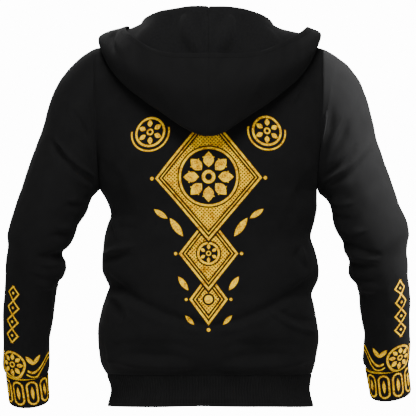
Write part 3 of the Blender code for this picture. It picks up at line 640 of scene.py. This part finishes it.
def sleeve(side, table, creases, seed):
    """A sleeve's outer points, normals, cloth coordinates and the way out of its end.

    Columns start at the underarm seam and run over the back of the arm."""
    turns = np.linspace(0, 2 * np.pi, SLEEVE_AROUND, endpoint=False)
    at = sampled(0, len(table) - 1, *SLEEVE_ALONG)
    centres, reach, depth = sleeve_sections(side, table, at)
    points = (centres[:, None] - reach[:, None] * np.cos(turns)[:, None]
              - depth[:, None] * np.sin(turns)[:, None])
    face = np.where(turns <= np.pi, -1, 1)
    folded = np.where(turns <= np.pi, turns, 2 * np.pi - turns)
    seam = armhole(side, folded, face)
    blend = (1 - smoothstep(0, 1, at))[:, None, None]
    points = points + (seam - points[0]) * blend
    from_armhole = np.linalg.norm(points - points[0], axis=-1)
    from_cuff = np.linalg.norm(points - points[-1], axis=-1)
    fade = smoothstep(*ARMHOLE_FADE, from_armhole) * smoothstep(0, CUFF_FADE, from_cuff)
    behind = np.clip(TURN_SHARPNESS * np.sin(turns) + 0.5, 0, 1)
    in_front = np.clip(-TURN_SHARPNESS * np.sin(turns) + 0.5, 0, 1) * HIDDEN_SHARE
    press = crease_depths(points[..., [0, 2]], creases) * np.maximum(behind, in_front)
    press = press + undulation(points, seed, SLEEVE_UNEVEN)
    points, normals = pressed(points, press * fade, -side, around=True)
    along = unit(centres[-1] - centres[-2])
    around = lengths_along(closed(points, 1), 1)
    outer_line = np.array([np.interp(np.pi, np.append(turns, 2 * np.pi), row) for row in around])
    around = outer_line[:, None] - around
    down = lengths_along(centres[:, None], 0)[:, 0]
    up = CUFF_LENGTH + down[-1] - down
    coordinates = np.stack([around, np.repeat(up[:, None], around.shape[1], axis=1)], axis=-1)
    return points, normals, coordinates, along


def add_object(name, data):
    obj = bpy.data.objects.new(name, data)
    bpy.context.scene.collection.objects.link(obj)
    return obj


def shell_faces(grid, past, around):
    """Quads of a shell's outer face, its inner face and its cut edges, by the numbers in a grid
    of the outer face; those of the inner face lie past them by an equal step."""
    outer = np.stack([grid[:-1, :-1], grid[:-1, 1:], grid[1:, 1:], grid[1:, :-1]], -1)
    outer = outer.reshape(-1, 4)
    found = [outer, outer[:, ::-1] + past]
    edges = [(grid[0], 1), (grid[-1], -1)]
    if not around:
        edges += [(grid[:, 0], -1), (grid[:, -1], 1)]
    for line, way in edges:
        a, b = line[:-1], line[1:]
        found.append(np.stack([a + past, b + past, b, a], 1)[:, ::way])
    return found


def shell(name, surface, normals, coordinates, materials, slot, thickness=SHELL, around=False):
    """A thin closed shell: the outer points, the same points moved in, and the cut edges.

    Near the cut edges both faces bend toward each other, so that each seam lies in a soft
    groove. The first material is for the outer face and the edges, the last for the inner face."""
    near = near_edges(surface, around)[..., None]
    outer = surface - normals * TURN_IN * near
    inner = surface - normals * (thickness - TURN_OUT * near)
    points = np.vstack([outer.reshape(-1, 3), inner.reshape(-1, 3)])
    points[:, 2] -= NECK_LEVEL
    rows, count = surface.shape[:2]
    corners = np.arange(rows * count).reshape(rows, count)
    if around:
        corners = closed(corners, 1)
    places = np.arange(coordinates[..., 0].size).reshape(rows, -1)
    parts = shell_faces(corners, rows * count, around)
    faces = np.concatenate(parts)
    uvs = coordinates.reshape(-1, 2)[np.concatenate(shell_faces(places, 0, around))]
    volume = np.einsum("ij,ij->i", points[faces[:, 0]],
                       np.cross(points[faces[:, 1]], points[faces[:, 2]])).sum()
    if volume < 0:
        faces = faces[:, ::-1]
        uvs = uvs[:, ::-1]
    mesh = bpy.data.meshes.new(name)
    mesh.from_pydata(points.tolist(), [], faces.tolist())
    layer = mesh.uv_layers.new(name="cloth")
    layer.data.foreach_set("uv", np.ascontiguousarray(uvs, np.float32).ravel())
    mesh.shade_smooth()
    mesh.set_sharp_from_angle(angle=math.radians(SHARP_ANGLE))
    for material in materials:
        mesh.materials.append(material)
    index = np.zeros(len(faces), np.int32)
    index[len(parts[0]):2 * len(parts[0])] = len(materials) - 1
    mesh.polygons.foreach_set("material_index", index)
    obj = add_object(name, mesh)
    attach(obj, "root")
    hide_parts(name)
    return obj


def ring_of(row):
    """One fine section of the hem band."""
    values = dict(zip(HEM_COLUMNS, row))
    turn = np.linspace(0, 2 * np.pi, HEM_POINTS, endpoint=False)
    right = np.sin(turn)
    front = -np.cos(turn)
    half = np.where(right < 0, values["left"], values["right"])
    deep = np.where(front < 0, values["back"], values["front"])
    height = np.full_like(turn, values["height"])
    return np.stack([half * fuller(right), deep * fuller(front), height], axis=-1)


def evenly(ring, count):
    """The same closed outline with its points at equal distances."""
    ring = closed(ring)
    lengths = lengths_along(ring[None], 1)[0]
    at = np.linspace(0, lengths[-1], count, endpoint=False)
    return interpolated(at, lengths, ring)


def outward(ring):
    """Normals of a closed outline, in its own plane."""
    away = ring - ring.mean(axis=0)
    axis = unit(np.cross(away[0], away[len(ring) // 4]))
    out = unit(np.cross(np.roll(ring, -1, axis=0) - np.roll(ring, 1, axis=0), axis))
    return out * np.sign((away * out).sum())


def band(name, rings, ribs, u_from, v_from, material, tuck_last=False):
    """A ribbed band through the rings, tucked in a little at its seam, the first or the last.

    Its cloth coordinates come from the way round and along."""
    count = ribs * POINTS_PER_RIB
    fine = np.array([evenly(ring, count) for ring in rings])
    normals = np.array([outward(ring) for ring in fine])
    phase = np.arange(count) / POINTS_PER_RIB
    groove = RIB_DEPTH * (1 - np.abs(np.cos(np.pi * phase)) ** RIB_ROUND)
    along = lengths_along(fine, 0)
    ends = np.minimum(along, along[-1:] - along)
    full = RIB_END + (1 - RIB_END) * smoothstep(0, RIB_END_REACH, ends)
    outer = fine - normals * (groove * full)[..., None]
    tucked = BAND_TUCK * (1 - smoothstep(0, TUCK_REACH, along[-1:] - along if tuck_last else along))
    outer = outer - normals * tucked[..., None]
    around = u_from(lengths_along(closed(fine, 1), 1))
    coordinates = np.stack([around, v_from(closed(along, 1))], axis=-1)
    return shell(name, outer, normals, coordinates, [material], "rib", RIB_SHELL, around=True)


def make_hem(material):
    heights = column(HEM, HEM_COLUMNS, "height")
    top = heights[-1] + SEAM_LAP
    rings = []
    for height in sampled(heights[0], top, HEM_ROWS, top - heights[0]):
        ring = ring_of([through(heights, column(HEM, HEM_COLUMNS, name), height)
                        for name in HEM_COLUMNS])
        x = ring[:, 0]
        ripple = np.cos(x * 2 * np.pi / RIPPLE_LENGTH)
        ripple = ripple + SMALL_RIPPLE * np.cos(x * SMALL_RIPPLE_TURN + 1)
        lift = HEM_RIPPLE * (1 + ripple) * smoothstep(heights[-1], 0, height)
        ring[:, 2] += lift
        rings.append(ring)
    return band("hem_band", rings, HEM_RIBS, lambda run: run, lambda run: run, material, True)


def make_cuff(word, end_ring, along, material):
    centre = end_ring.mean(axis=0)
    last = end_ring - centre
    last = last - (last @ along)[:, None] * along
    rings = []
    for share in sampled(-SEAM_LAP / CUFF_LENGTH, 1, CUFF_ROWS, CUFF_LENGTH + SEAM_LAP):
        size = 1 + (CUFF_TIP_SHARE - 1) * share
        rings.append(centre + along * (CUFF_LENGTH * share) + last * size)
    half = lengths_along(closed(end_ring)[None], 1)[0]
    outer_line = half[len(end_ring) // 2] / half[-1]
    return band("cuff_" + word, rings, CUFF_RIBS, lambda run: run[:, -1:] * outer_line - run,
                lambda run: CUFF_LENGTH - run, material)


def round_the_neck(table, name, angles):
    """A column of the hood's table, carried on past the centre seam and the throat."""
    stations = column(table, HOOD_COLUMNS, "angle")
    values = column(table, HOOD_COLUMNS, name)
    stations = np.concatenate([[-stations[1]], stations, [360 - stations[-2]]])
    values = np.concatenate([[values[1]], values, [values[-2]]])
    return through(stations, values, angles)


def neck_seam(side, necks, angles):
    """The neck seam at angles round it, from the top rows of the back and the front."""
    share = np.where(angles <= 90, angles, 180 - angles) / 180 * side
    across = panel_columns()
    behind, before = (interpolated(share, across, necks[name]) for name in ("back", "front"))
    return np.where(angles[:, None] <= 90, behind, before)


def hood_half(side, table, necks, creases):
    """Outer points, normals and cloth coordinates of half of the hood.

    Rows run round the neck from behind to the throat. Columns run from the neck seam up the
    stand, over the roll, down into the bowl, round its lowest fold and up to the face edge."""
    angles = sampled(0, 180, *HOOD_ROUND)
    at = {name: round_the_neck(table, name, angles) for name in HOOD_COLUMNS[1:]}
    up = np.array([0.0, 0.0, 1.0])
    turn = np.radians(angles)[:, None]
    out = np.concatenate([side * np.sin(turn), -np.cos(turn), 0 * turn], axis=1)
    centre = np.array([0, HOOD_CENTRE_Y, 0])
    full = at["full"][:, None]

    def place(part):
        return centre + out * at[part + "_out"][:, None] + up * at[part + "_h"][:, None]

    def toward(shares):
        return out * shares[0] + up * shares[1]

    seam = neck_seam(side, necks, angles)
    roll, fold, lip = place("roll"), place("fold"), place("lip")
    over = roll + toward(OVER_ROLL) * ROLL_WIDTH * full
    before = fold + toward(BEFORE_FOLD) * FOLD_WIDTH * full
    after = fold + toward(AFTER_FOLD) * FOLD_WIDTH * full
    stand = (seam + roll) / 2 - STAND_HOLLOW * ROLL_WIDTH * out * full
    bowl = (over + before) / 2 + out * BOWL_CLEARANCE * np.maximum(np.cos(turn), BOWL_IN_FRONT)
    belly = (after + lip) / 2 + BELLY * out * full
    knots = np.stack([seam, stand, roll, over, bowl, before, fold, after, belly, lip], axis=1)
    profile = np.unique(np.concatenate([
        sampled(0, 2, *HOOD_STAND, fringe_high=False), np.linspace(2, 6, HOOD_BOWL),
        sampled(6, 9, *HOOD_FACE, fringe_low=False)]))
    order = np.arange(knots.shape[1], dtype=float)
    points = np.empty((len(knots), len(profile), 3))
    for k, c in np.ndindex(len(knots), 3):
        points[k, :, c] = through(order, knots[k, :, c], profile)
    down = lengths_along(points, 1)
    around = lengths_along(points, 0)
    across = side * np.repeat(angles[:, None] / MM_PER_METRE, len(profile), axis=1)
    press = crease_depths(np.stack([across, down], -1), creases)
    press = press * smoothstep(0, THROAT_FADE, around[-1:] - around)
    press = press + undulation(points, HOOD_SEED, HOOD_UNEVEN)
    lining = smoothstep(*LINING_FROM, down) * (1 - smoothstep(*LINING_TO, down))
    press -= SEAM_GROOVE * (1 - smoothstep(0, SEAM_GROOVE_REACH, around)) * lining
    fade = smoothstep(0, NECK_FADE, down) * smoothstep(0, LIP_FADE, down[:, -1:] - down)
    points, normals = pressed(points, press * fade, -side)
    normals[[0, -1], :, 0] = 0
    normals = unit(normals)
    points[[0, -1], :, 0] = 0
    return points, normals, np.stack([side * around, down], axis=-1)


def parallel_line(points, normals, distance, from_end=False):
    """A line on the cloth at a distance from the grid's first or last row."""
    if from_end:
        points, normals = points[::-1], normals[::-1]
    lengths = lengths_along(points, 0)
    line = []
    for j in range(points.shape[1]):
        here, away = (interpolated(distance, lengths[:, j], grid[:, j])
                      for grid in (points, normals))
        line.append(here + unit(away) * THREAD_LIFT)
    return np.array(line)


def math_method(operation):
    """A field's method that adds a Math node with the operation."""
    return lambda self, *others: self.math(operation, *others)


class Field:
    """A number that varies over the cloth: a socket in a node group, with Math nodes for sums."""

    def __init__(self, tree, socket):
        self.tree = tree
        self.socket = socket

    def math(self, operation, *others, clamp=False):
        values = dict(enumerate((self, *others)))
        node = add_node(self.tree, "ShaderNodeMath", values, operation=operation, use_clamp=clamp)
        return Field(self.tree, node.outputs[0])

    def repeated(self, pitch):
        """The distance from the nearest multiple of the pitch, with its sign."""
        return self.math("WRAP", pitch / 2, -pitch / 2)

    def clipped(self):
        return self.math("ADD", 0.0, clamp=True)

    __add__ = math_method("ADD")
    __sub__ = math_method("SUBTRACT")
    __mul__ = math_method("MULTIPLY")
    __truediv__ = math_method("DIVIDE")
    __abs__ = math_method("ABSOLUTE")
    least = math_method("MINIMUM")
    most = math_method("MAXIMUM")
    root = math_method("SQRT")
    sine = math_method("SINE")
    cosine = math_method("COSINE")
    turn_from = math_method("ARCTAN2")
    zigzag = math_method("PINGPONG")


def plug(tree, node, inputs):
    """Gives a node's inputs their values, or links them where a field or a socket is given."""
    for place, value in inputs.items():
        if isinstance(value, Field):
            value = value.socket
        if isinstance(value, bpy.types.NodeSocket):
            tree.links.new(value, node.inputs[place])
        else:
            node.inputs[place].default_value = value


def add_node(tree, kind, inputs=None, **settings):
    node = tree.nodes.new(kind)
    for name, value in settings.items():
        setattr(node, name, value)
    plug(tree, node, inputs or {})
    return node


def stitch_group():
    """Geometry nodes: a row of stitches along every line of a curve."""
    group = bpy.data.node_groups.new("stitch row", "GeometryNodeTree")
    group.is_modifier = True
    add_socket = group.interface.new_socket
    add_socket("Lines", in_out="INPUT", socket_type="NodeSocketGeometry")
    for name, size in STITCH.items():
        socket = add_socket(name, in_out="INPUT", socket_type="NodeSocketFloat")
        socket.default_value = size
    add_socket("Thread", in_out="INPUT", socket_type="NodeSocketMaterial")
    add_socket("Stitches", in_out="OUTPUT", socket_type="NodeSocketGeometry")
    given = add_node(group, "NodeGroupInput").outputs
    spaced = add_node(group, "GeometryNodeCurveToPoints", mode="LENGTH")
    plug(group, spaced, {"Curve": given["Lines"], "Length": given["Stitch pitch"]})
    ball = add_node(group, "GeometryNodeMeshUVSphere", {"Segments": 6, "Rings": 5, "Radius": 1.0})
    turned = add_node(group, "FunctionNodeAlignRotationToVector", axis="Z")
    plug(group, turned, {"Vector": spaced.outputs["Tangent"]})
    half_length = Field(group, given["Stitch length"]) * 0.5
    radius = given["Thread radius"]
    size = add_node(group, "ShaderNodeCombineXYZ", {"X": radius, "Y": radius, "Z": half_length})
    placed = add_node(group, "GeometryNodeInstanceOnPoints", {
        "Points": spaced.outputs["Points"], "Instance": ball.outputs["Mesh"],
        "Rotation": turned.outputs["Rotation"], "Scale": size.outputs["Vector"]})
    real = add_node(group, "GeometryNodeRealizeInstances", {0: placed.outputs["Instances"]})
    painted = add_node(group, "GeometryNodeSetMaterial", {
        "Geometry": real.outputs["Geometry"], "Material": given["Thread"]})
    add_node(group, "NodeGroupOutput", {"Stitches": painted.outputs["Geometry"]})
    return group


def add_stitches(name, lines, group, material):
    """A plain mesh with a stitch at every step along the lines."""
    curve = bpy.data.curves.new(name + "_lines", "CURVE")
    curve.dimensions = "3D"
    for line in lines:
        spline = curve.splines.new("POLY")
        spline.points.add(len(line) - 1)
        shifted = line - np.array([0, 0, NECK_LEVEL])
        spline.points.foreach_set("co", np.c_[shifted, np.ones(len(line))].ravel())
    guide = add_object(name + "_lines", curve)
    modifier = guide.modifiers.new("stitches", "NODES")
    modifier.node_group = group
    modifier[group.interface.items_tree["Thread"].identifier] = material
    bpy.context.view_layer.update()
    graph = bpy.context.evaluated_depsgraph_get()
    mesh = bpy.data.meshes.new_from_object(guide.evaluated_get(graph), depsgraph=graph)
    mesh.name = name
    mesh.shade_smooth()
    bpy.data.objects.remove(guide)
    bpy.data.curves.remove(curve)
    piece = add_object(name, mesh)
    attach(piece, "root")
    return piece


def away_from(u, v):
    return (u * u + v * v).root()


# The ornament's shapes. Each gives the distance from the shape's edge, in metres: below 0 is gold.
def ring(r, radius, half):
    return abs(r - radius) - half


def petals(r, turn, count, low, high, half):
    aside = abs(turn.repeated(2 * math.pi / count)) * r
    bulge = (((r - low) / (high - low)).clipped() * math.pi).sine() * half
    return aside - bulge + PETAL_GAP


def beads(r, turn, count, radius, size):
    aside = turn.repeated(2 * math.pi / count) * radius
    return away_from(aside, r - radius) - size


def leaf(u, v, half_length, half_width, angle):
    """A pointed leaf round the origin, with its length at the angle from across."""
    cosine, sine = math.cos(angle), math.sin(angle)
    along = u * cosine + v * sine
    aside = v * cosine - u * sine
    radius = (half_length**2 + half_width**2) / (2 * half_width)
    return away_from(along, abs(aside) + (radius - half_width)) - radius


def lozenge(s, v, half_width, half_height):
    scale = half_width * half_height / math.hypot(half_width, half_height)
    return (s / half_width + abs(v) / half_height - 1.0) * scale


def mesh_holes(u, v):
    """A distance that is below 0 outside the small square holes of a mesh."""
    across = abs((u + v).repeated(MESH_PITCH))
    up = abs((u - v).repeated(MESH_PITCH))
    return (across.most(up) - MESH_HOLE) * -1.0


def between(found, v, low, high):
    """Takes away what lies below or above two heights."""
    return found.most((v - high).most((v - low) * -1.0))


def framed_lozenge(found, u, v, half_width, half_height):
    """A lozenge with a bold outline, a fine one inside it and a mesh within them."""
    edge = lozenge(abs(u), v, half_width, half_height)
    found = found.most((edge - LOZENGE_GAP) * -1.0)
    found = found.least(abs(edge + BOLD_INSET) - BOLD)
    found = found.least(abs(edge + FINE_INSET) - FINE)
    return found.least((edge + MESH_INSET).most(mesh_holes(u, v)))


def rosette(found, r, turn, radius, count):
    """Rings, a wreath of petals and a middle bead, on ground cleared of what lies there."""
    found = found.most((r - (radius + ROSETTE_GAP)) * -1.0)
    found = found.least(ring(r, radius - BOLD, BOLD))
    found = found.least(petals(r, turn, count, *(share * radius for share in PETALS)))
    return found.least(ring(r, *(share * radius for share in EYE)))


def back_ornament(u, v):
    """A chain of three lozenges, a large rosette on the top one, and a rosette at each side."""
    s = abs(u)
    found = s * 0.0 + 1.0
    for height, half_width, half_height, radius, count in BACK_LOZENGES:
        up = v - height
        found = framed_lozenge(found, u, up, half_width, half_height)
        r = away_from(u, up)
        turn = u.turn_from(up)
        if count:
            found = rosette(found, r, turn, radius, count)
        else:
            found = found.most((r - (radius + BEAD_GAP)) * -1.0).least(r - radius)
    found = found.least(beads(r, turn, *BEAD_RING).most(r - BEAD_RING_REACH))
    side_u, side_v = (one - place for one, place in zip((s, v), SIDE_PLACE))
    r = away_from(side_u, side_v)
    found = rosette(found, r, side_u.turn_from(side_v), *SIDE_ROSETTE)
    found = found.least(ring(r, SIDE_ARC, THIN).most(side_v - SIDE_ARC_TOP))
    for out, height, *shape in BACK_LEAVES:
        found = found.least(leaf(s - out, v - height, *shape))
    for out, height, radius in BACK_BEADS:
        found = found.least(away_from(s - out, v - height) - radius)
    return found


def sleeve_ornament(u, v):
    """A chain of lozenges down the outer forearm, rosettes above the cuff, loops on it."""
    u = u - SLEEVE_ORNAMENT_U
    zigzag = (v - CHAIN_MIDDLE).zigzag(CHAIN_PITCH / 2)
    found = between(abs(abs(u) - zigzag * CHAIN_LEAN) - BOLD, v, *CHAIN_ENDS)
    bead = away_from(u, (v - CHAIN_BEAD_AT).repeated(CHAIN_PITCH)) - CHAIN_BEAD
    found = found.least(between(bead, v, *CHAIN_BEAD_ENDS))
    up = v - WREATH_AT
    r = away_from(u, up)
    found = rosette(found, r, u.turn_from(up), *WREATH)
    around = u.repeated(WAVE_PITCH)
    wave = up - (around * (2 * math.pi / WAVE_PITCH)).cosine() * WAVE_HEIGHT
    clear = r * -1.0 + WAVE_CLEAR
    found = found.least((abs(wave) - BOLD).most(clear))
    found = found.least((abs(wave + SECOND_WAVE) - THIN).most(clear))
    leaf_u, leaf_v = WAVE_LEAF_PLACE
    found = found.least(leaf(abs(around) - leaf_u, v - leaf_v, *WAVE_LEAF))
    loop_u = u.repeated(CHAIN_PITCH)
    loop_v = v - LOOP_AT
    loop = away_from(loop_u, (abs(loop_v) - LOOP_STRAIGHT).most(0.0)) - LOOP_RADIUS
    found = found.least(abs(loop) - LOOP_LINE)
    found = found.least(leaf(loop_u, loop_v, *LOOP_LEAF))
    return found.least(abs(v - CUFF_LINE_AT) - THIN)


def cloth_group(name):
    """A new shader node group and its input, the cloth's coordinates."""
    group = bpy.data.node_groups.new(name, "ShaderNodeTree")
    group.interface.new_socket("Cloth", in_out="INPUT", socket_type="NodeSocketVector")
    return group, add_node(group, "NodeGroupInput").outputs["Cloth"]


def finished(group, kind, **results):
    """The group with its outputs, all of one kind."""
    for name in results:
        group.interface.new_socket(name, in_out="OUTPUT", socket_type="NodeSocket" + kind)
    add_node(group, "NodeGroupOutput", results)
    return group


def cloth_axes(tree, cloth):
    split = add_node(tree, "ShaderNodeSeparateXYZ", {0: cloth})
    return Field(tree, split.outputs["X"]), Field(tree, split.outputs["Y"])


def noise_in(tree, vector, scale, detail, roughness):
    node = add_node(tree, "ShaderNodeTexNoise", {
        "Scale": scale, "Detail": detail, "Roughness": roughness, "Vector": vector})
    return Field(tree, node.outputs["Fac"])


def ornament_group(name, design):
    """Masks from cloth coordinates: where the gold is, and the darker rim along its edge."""
    group, cloth = cloth_group(name)
    distance = design(*cloth_axes(group, cloth))
    gold = (distance * -1.0 / EDGE_BLUR + 0.5).clipped()
    rim = (abs(distance) / -RIM_WIDTH + 1.0).clipped()
    return finished(group, "Float", Gold=gold, Rim=rim)


def jersey_group():
    """The smooth face of a knit: columns of small V stitches, with a little fuzz and wear."""
    group, cloth = cloth_group("jersey face")
    u, v = cloth_axes(group, cloth)
    across = (u / WALE).repeated(1.0)
    legs = ((v / COURSE + abs(across) * 0.9) * (2 * math.pi)).sine()
    wales = (across * (2 * math.pi)).cosine() * -0.5 + 0.5
    knit = legs * 0.35 + wales * 0.65
    fuzz = noise_in(group, cloth, *FUZZ)
    worn = noise_in(group, cloth, *WEAR)
    tone = (worn - 0.5) * 0.55 + (fuzz - 0.5) * 0.9 + knit * 0.22 + 0.95
    return finished(group, "Float", Height=knit * 0.7 + fuzz * 0.6, Tone=tone)


def brushed_group():
    """The napped inside of the fleece: soft tufts and stray fibres."""
    group, cloth = cloth_group("brushed nap")
    tufts = noise_in(group, cloth, *TUFTS)
    fibres = noise_in(group, cloth, *FIBRES)
    tone = (tufts - 0.5) * 1.7 + (fibres - 0.5) * 0.8 + 1.0
    return finished(group, "Float", Height=tufts * 0.8 + fibres * 0.4, Tone=tone)


def gold_group():
    """A mottled gold ink, from amber to pale yellow."""
    group, cloth = cloth_group("gold ink")
    patches = noise_in(group, cloth, *PATCHES)
    grains = noise_in(group, cloth, *GRAINS)
    ramp = add_node(group, "ShaderNodeValToRGB", {"Fac": patches * 0.45 + grains * 0.55})
    stops = ramp.color_ramp.elements
    for stop, (position, colour) in zip(stops, (GOLD_STOPS[0], GOLD_STOPS[-1])):
        stop.position, stop.color = position, (*colour, 1)
    for position, colour in GOLD_STOPS[1:-1]:
        stops.new(position).color = (*colour, 1)
    return finished(group, "Color", Color=ramp.outputs["Color"])


def mixed(tree, factor, first, second, blend="MIX"):
    node = add_node(tree, "ShaderNodeMix", data_type="RGBA", blend_type=blend)
    places = {socket.identifier: k for k, socket in enumerate(node.inputs)}
    plug(tree, node, {places["Factor_Float"]: factor, places["A_Color"]: first,
                      places["B_Color"]: second})
    return {socket.identifier: socket for socket in node.outputs}["Result_Color"]


def new_material(name):
    """A material, its node tree and its surface shader."""
    material = bpy.data.materials.new(name)
    material.use_nodes = True
    tree = material.node_tree
    return material, tree, tree.nodes["Principled BSDF"]


def cloth_material(name, colour, surface, look, ornament=None, gold=None, seam_shade=None):
    """Cloth with a knitted or napped surface, gold ink where an ornament is given, and painted
    shade along a seam where the half width of one is given: a dark line for the shadow in its gap."""
    material, tree, shader = new_material(name)
    cloth = add_node(tree, "ShaderNodeUVMap", uv_map="cloth").outputs["UV"]

    def results_of(group):
        node = add_node(tree, "ShaderNodeGroup", node_tree=group)
        plug(tree, node, {"Cloth": cloth})
        return node.outputs

    face = results_of(surface)
    channels = dict.fromkeys(("Red", "Green", "Blue"), face["Tone"])
    tone = add_node(tree, "ShaderNodeCombineColor", channels).outputs["Color"]
    result = mixed(tree, 1.0, (*colour, 1), tone, "MULTIPLY")
    if ornament:
        masks = results_of(ornament)
        result = mixed(tree, masks["Gold"], result, results_of(gold)["Color"])
        result = mixed(tree, masks["Rim"], result, (*RIM_COLOUR, 1))
    if seam_shade:
        # Painted shade: the colour is darkened in a line along the seam, for the shadow in its gap
        shade = add_node(tree, "ShaderNodeMapRange", {
            "Value": abs(cloth_axes(tree, cloth)[0]), "From Min": seam_shade / 2,
            "From Max": seam_shade, "To Min": 1.0, "To Max": 0.0})
        result = mixed(tree, shade.outputs["Result"], result, (*SEAM_SHADE_COLOUR, 1))
    bump = add_node(tree, "ShaderNodeBump", {**look["bump"], "Height": face["Height"]})
    plug(tree, shader, {**look["shader"], "Base Color": result, "Normal": bump.outputs["Normal"]})
    return material


def thread_material():
    """Sewing thread with its twist."""
    material, tree, shader = new_material("thread")
    place = add_node(tree, "ShaderNodeTexCoord").outputs["Object"]
    twist = add_node(tree, "ShaderNodeTexWave", {**THREAD_TWIST, "Vector": place},
                     bands_direction="DIAGONAL")
    colour = mixed(tree, twist.outputs["Fac"], *THREAD_COLOURS)
    plug(tree, shader, {**THREAD_LOOK, "Base Color": colour})
    return material


def make_camera():
    data = bpy.data.cameras.new("camera")
    data.sensor_width = SENSOR
    data.lens = SENSOR * CAMERA_DISTANCE / FRAME_WIDTH
    data.clip_end = 50
    camera = add_object("camera", data)
    camera.location = (VIEW_CENTRE_X, -CAMERA_DISTANCE, VIEW_CENTRE_H - NECK_LEVEL)
    camera.rotation_euler = (math.pi / 2, 0, 0)
    bpy.context.scene.camera = camera


def add_light(data, place, target):
    light = add_object(data.name, data)
    light.location = place
    toward = Vector(target) - Vector(place)
    light.rotation_euler = toward.to_track_quat("-Z", "Y").to_euler()
    return light


def make_studio(key_lit):
    """A pale floor some way below the hem, white surroundings and soft lights."""
    world = bpy.data.worlds.new("studio")
    bpy.context.scene.world = world
    world.use_nodes = True
    tree = world.node_tree
    seen = Field(tree, add_node(tree, "ShaderNodeLightPath").outputs["Is Camera Ray"])
    strength = seen * (BACKDROP_LIGHT - ROOM_LIGHT) + ROOM_LIGHT
    plug(tree, tree.nodes["Background"], {"Color": (1, 1, 1, 1), "Strength": strength})
    half = FLOOR_SIZE / 2
    corners = [(x * half, y * half, FLOOR_Z) for x, y in ((-1, -1), (1, -1), (1, 1), (-1, 1))]
    mesh = bpy.data.meshes.new("floor")
    mesh.from_pydata(corners, [], [(0, 1, 2, 3)])
    floor = add_object("floor", mesh)
    material, tree, shader = new_material("floor")
    plug(tree, shader, FLOOR_LOOK)
    mesh.materials.append(material)
    for name, place, target, size, power in LIGHTS:
        data = bpy.data.lights.new(name, "AREA")
        data.shape = "DISK"
        data.size = size
        data.energy = power
        add_light(data, place, target)
    data = bpy.data.lights.new("key", "SPOT")
    data.energy = KEY["power"]
    data.shadow_soft_size = KEY["size"]
    data.spot_size = KEY["cone"]
    data.spot_blend = 1.0
    key = add_light(data, KEY["place"], KEY["target"])
    lit = bpy.data.collections.new("lit by the key")
    for piece in key_lit:
        lit.objects.link(piece)
    key.light_linking.receiver_collection = lit


def main():
    thread = thread_material()
    stitches = stitch_group()
    jersey = jersey_group()
    outside = (FLEECE, jersey, FLEECE_LOOK)
    inside = (NAP, brushed_group(), NAP_LOOK)
    ribbed = (RIB, jersey, FLEECE_LOOK)
    ink = gold_group()
    on_back = ornament_group("back ornament", back_ornament)
    on_sleeve = ornament_group("sleeve ornament", sleeve_ornament)
    plain = cloth_material("fleece", *outside)
    printed_back = cloth_material("fleece_back", *outside, on_back, ink)
    printed_sleeve = cloth_material("fleece_sleeve", *outside, on_sleeve, ink)
    brushed = cloth_material("brushed", *inside)
    # The hood's lining has painted shade along its centre seam, for the shadow in the seam's gap
    hood_lining = cloth_material("brushed_hood", *inside, seam_shade=SEAM_SHADE_HALF_WIDTH)
    rib = cloth_material("rib", *ribbed)
    printed_rib = cloth_material("rib_cuff", *ribbed, on_sleeve, ink)
    made = {}

    def add_piece(name, shape, materials, around=False):
        made[name] = shell(name, *shape, materials, "fleece", around=around)

    def sew(name, *lines):
        add_stitches(name + "_stitches", lines, stitches, thread)

    necks = {}
    for name, face, creases, seed, material in (
        ("back", -1, BACK_CREASES, 11, printed_back), ("front", 1, FRONT_CREASES, 12, plain),
    ):
        points, normals, coordinates = panel(face, creases, seed)
        necks[name] = points[-1].copy()
        add_piece(name, (points, normals, coordinates), [material, brushed])
        above = np.argmax(points[:, 0, 2] > ARMPIT + ARMHOLE_STITCH_FROM)
        sides = points[above:].swapaxes(0, 1), normals[above:].swapaxes(0, 1)
        sew(name, *(parallel_line(*sides, ARMHOLE_STITCH, end) for end in (False, True)),
            parallel_line(points, normals, BAND_STITCH))

    for word, side, table, creases, seed in (
        ("left", -1, SLEEVE_LEFT, SLEEVE_CREASES_LEFT, 21),
        ("right", 1, SLEEVE_RIGHT, SLEEVE_CREASES_RIGHT, 22),
    ):
        name = "sleeve_" + word
        points, normals, coordinates, along = sleeve(side, table, creases, seed)
        add_piece(name, (points, normals, coordinates), [printed_sleeve, brushed], True)
        sew(name, closed(parallel_line(points, normals, BAND_STITCH, True)))
        made["cuff_" + word] = make_cuff(word, points[-1], along, printed_rib)
    made["hem_band"] = make_hem(rib)

    for word, side, table, creases in (
        ("left", -1, HOOD_LEFT, HOOD_CREASES_LEFT),
        ("right", 1, HOOD_RIGHT, HOOD_CREASES_RIGHT),
    ):
        name = "hood_" + word
        points, normals, coordinates = hood_half(side, table, necks, creases)
        add_piece(name, (points, normals, coordinates), [plain, hood_lining])
        sew(name, parallel_line(points.swapaxes(0, 1), normals.swapaxes(0, 1), LIP_STITCH, True))

    make_camera()
    make_studio([made[name] for name in KEY_LIT])


main()
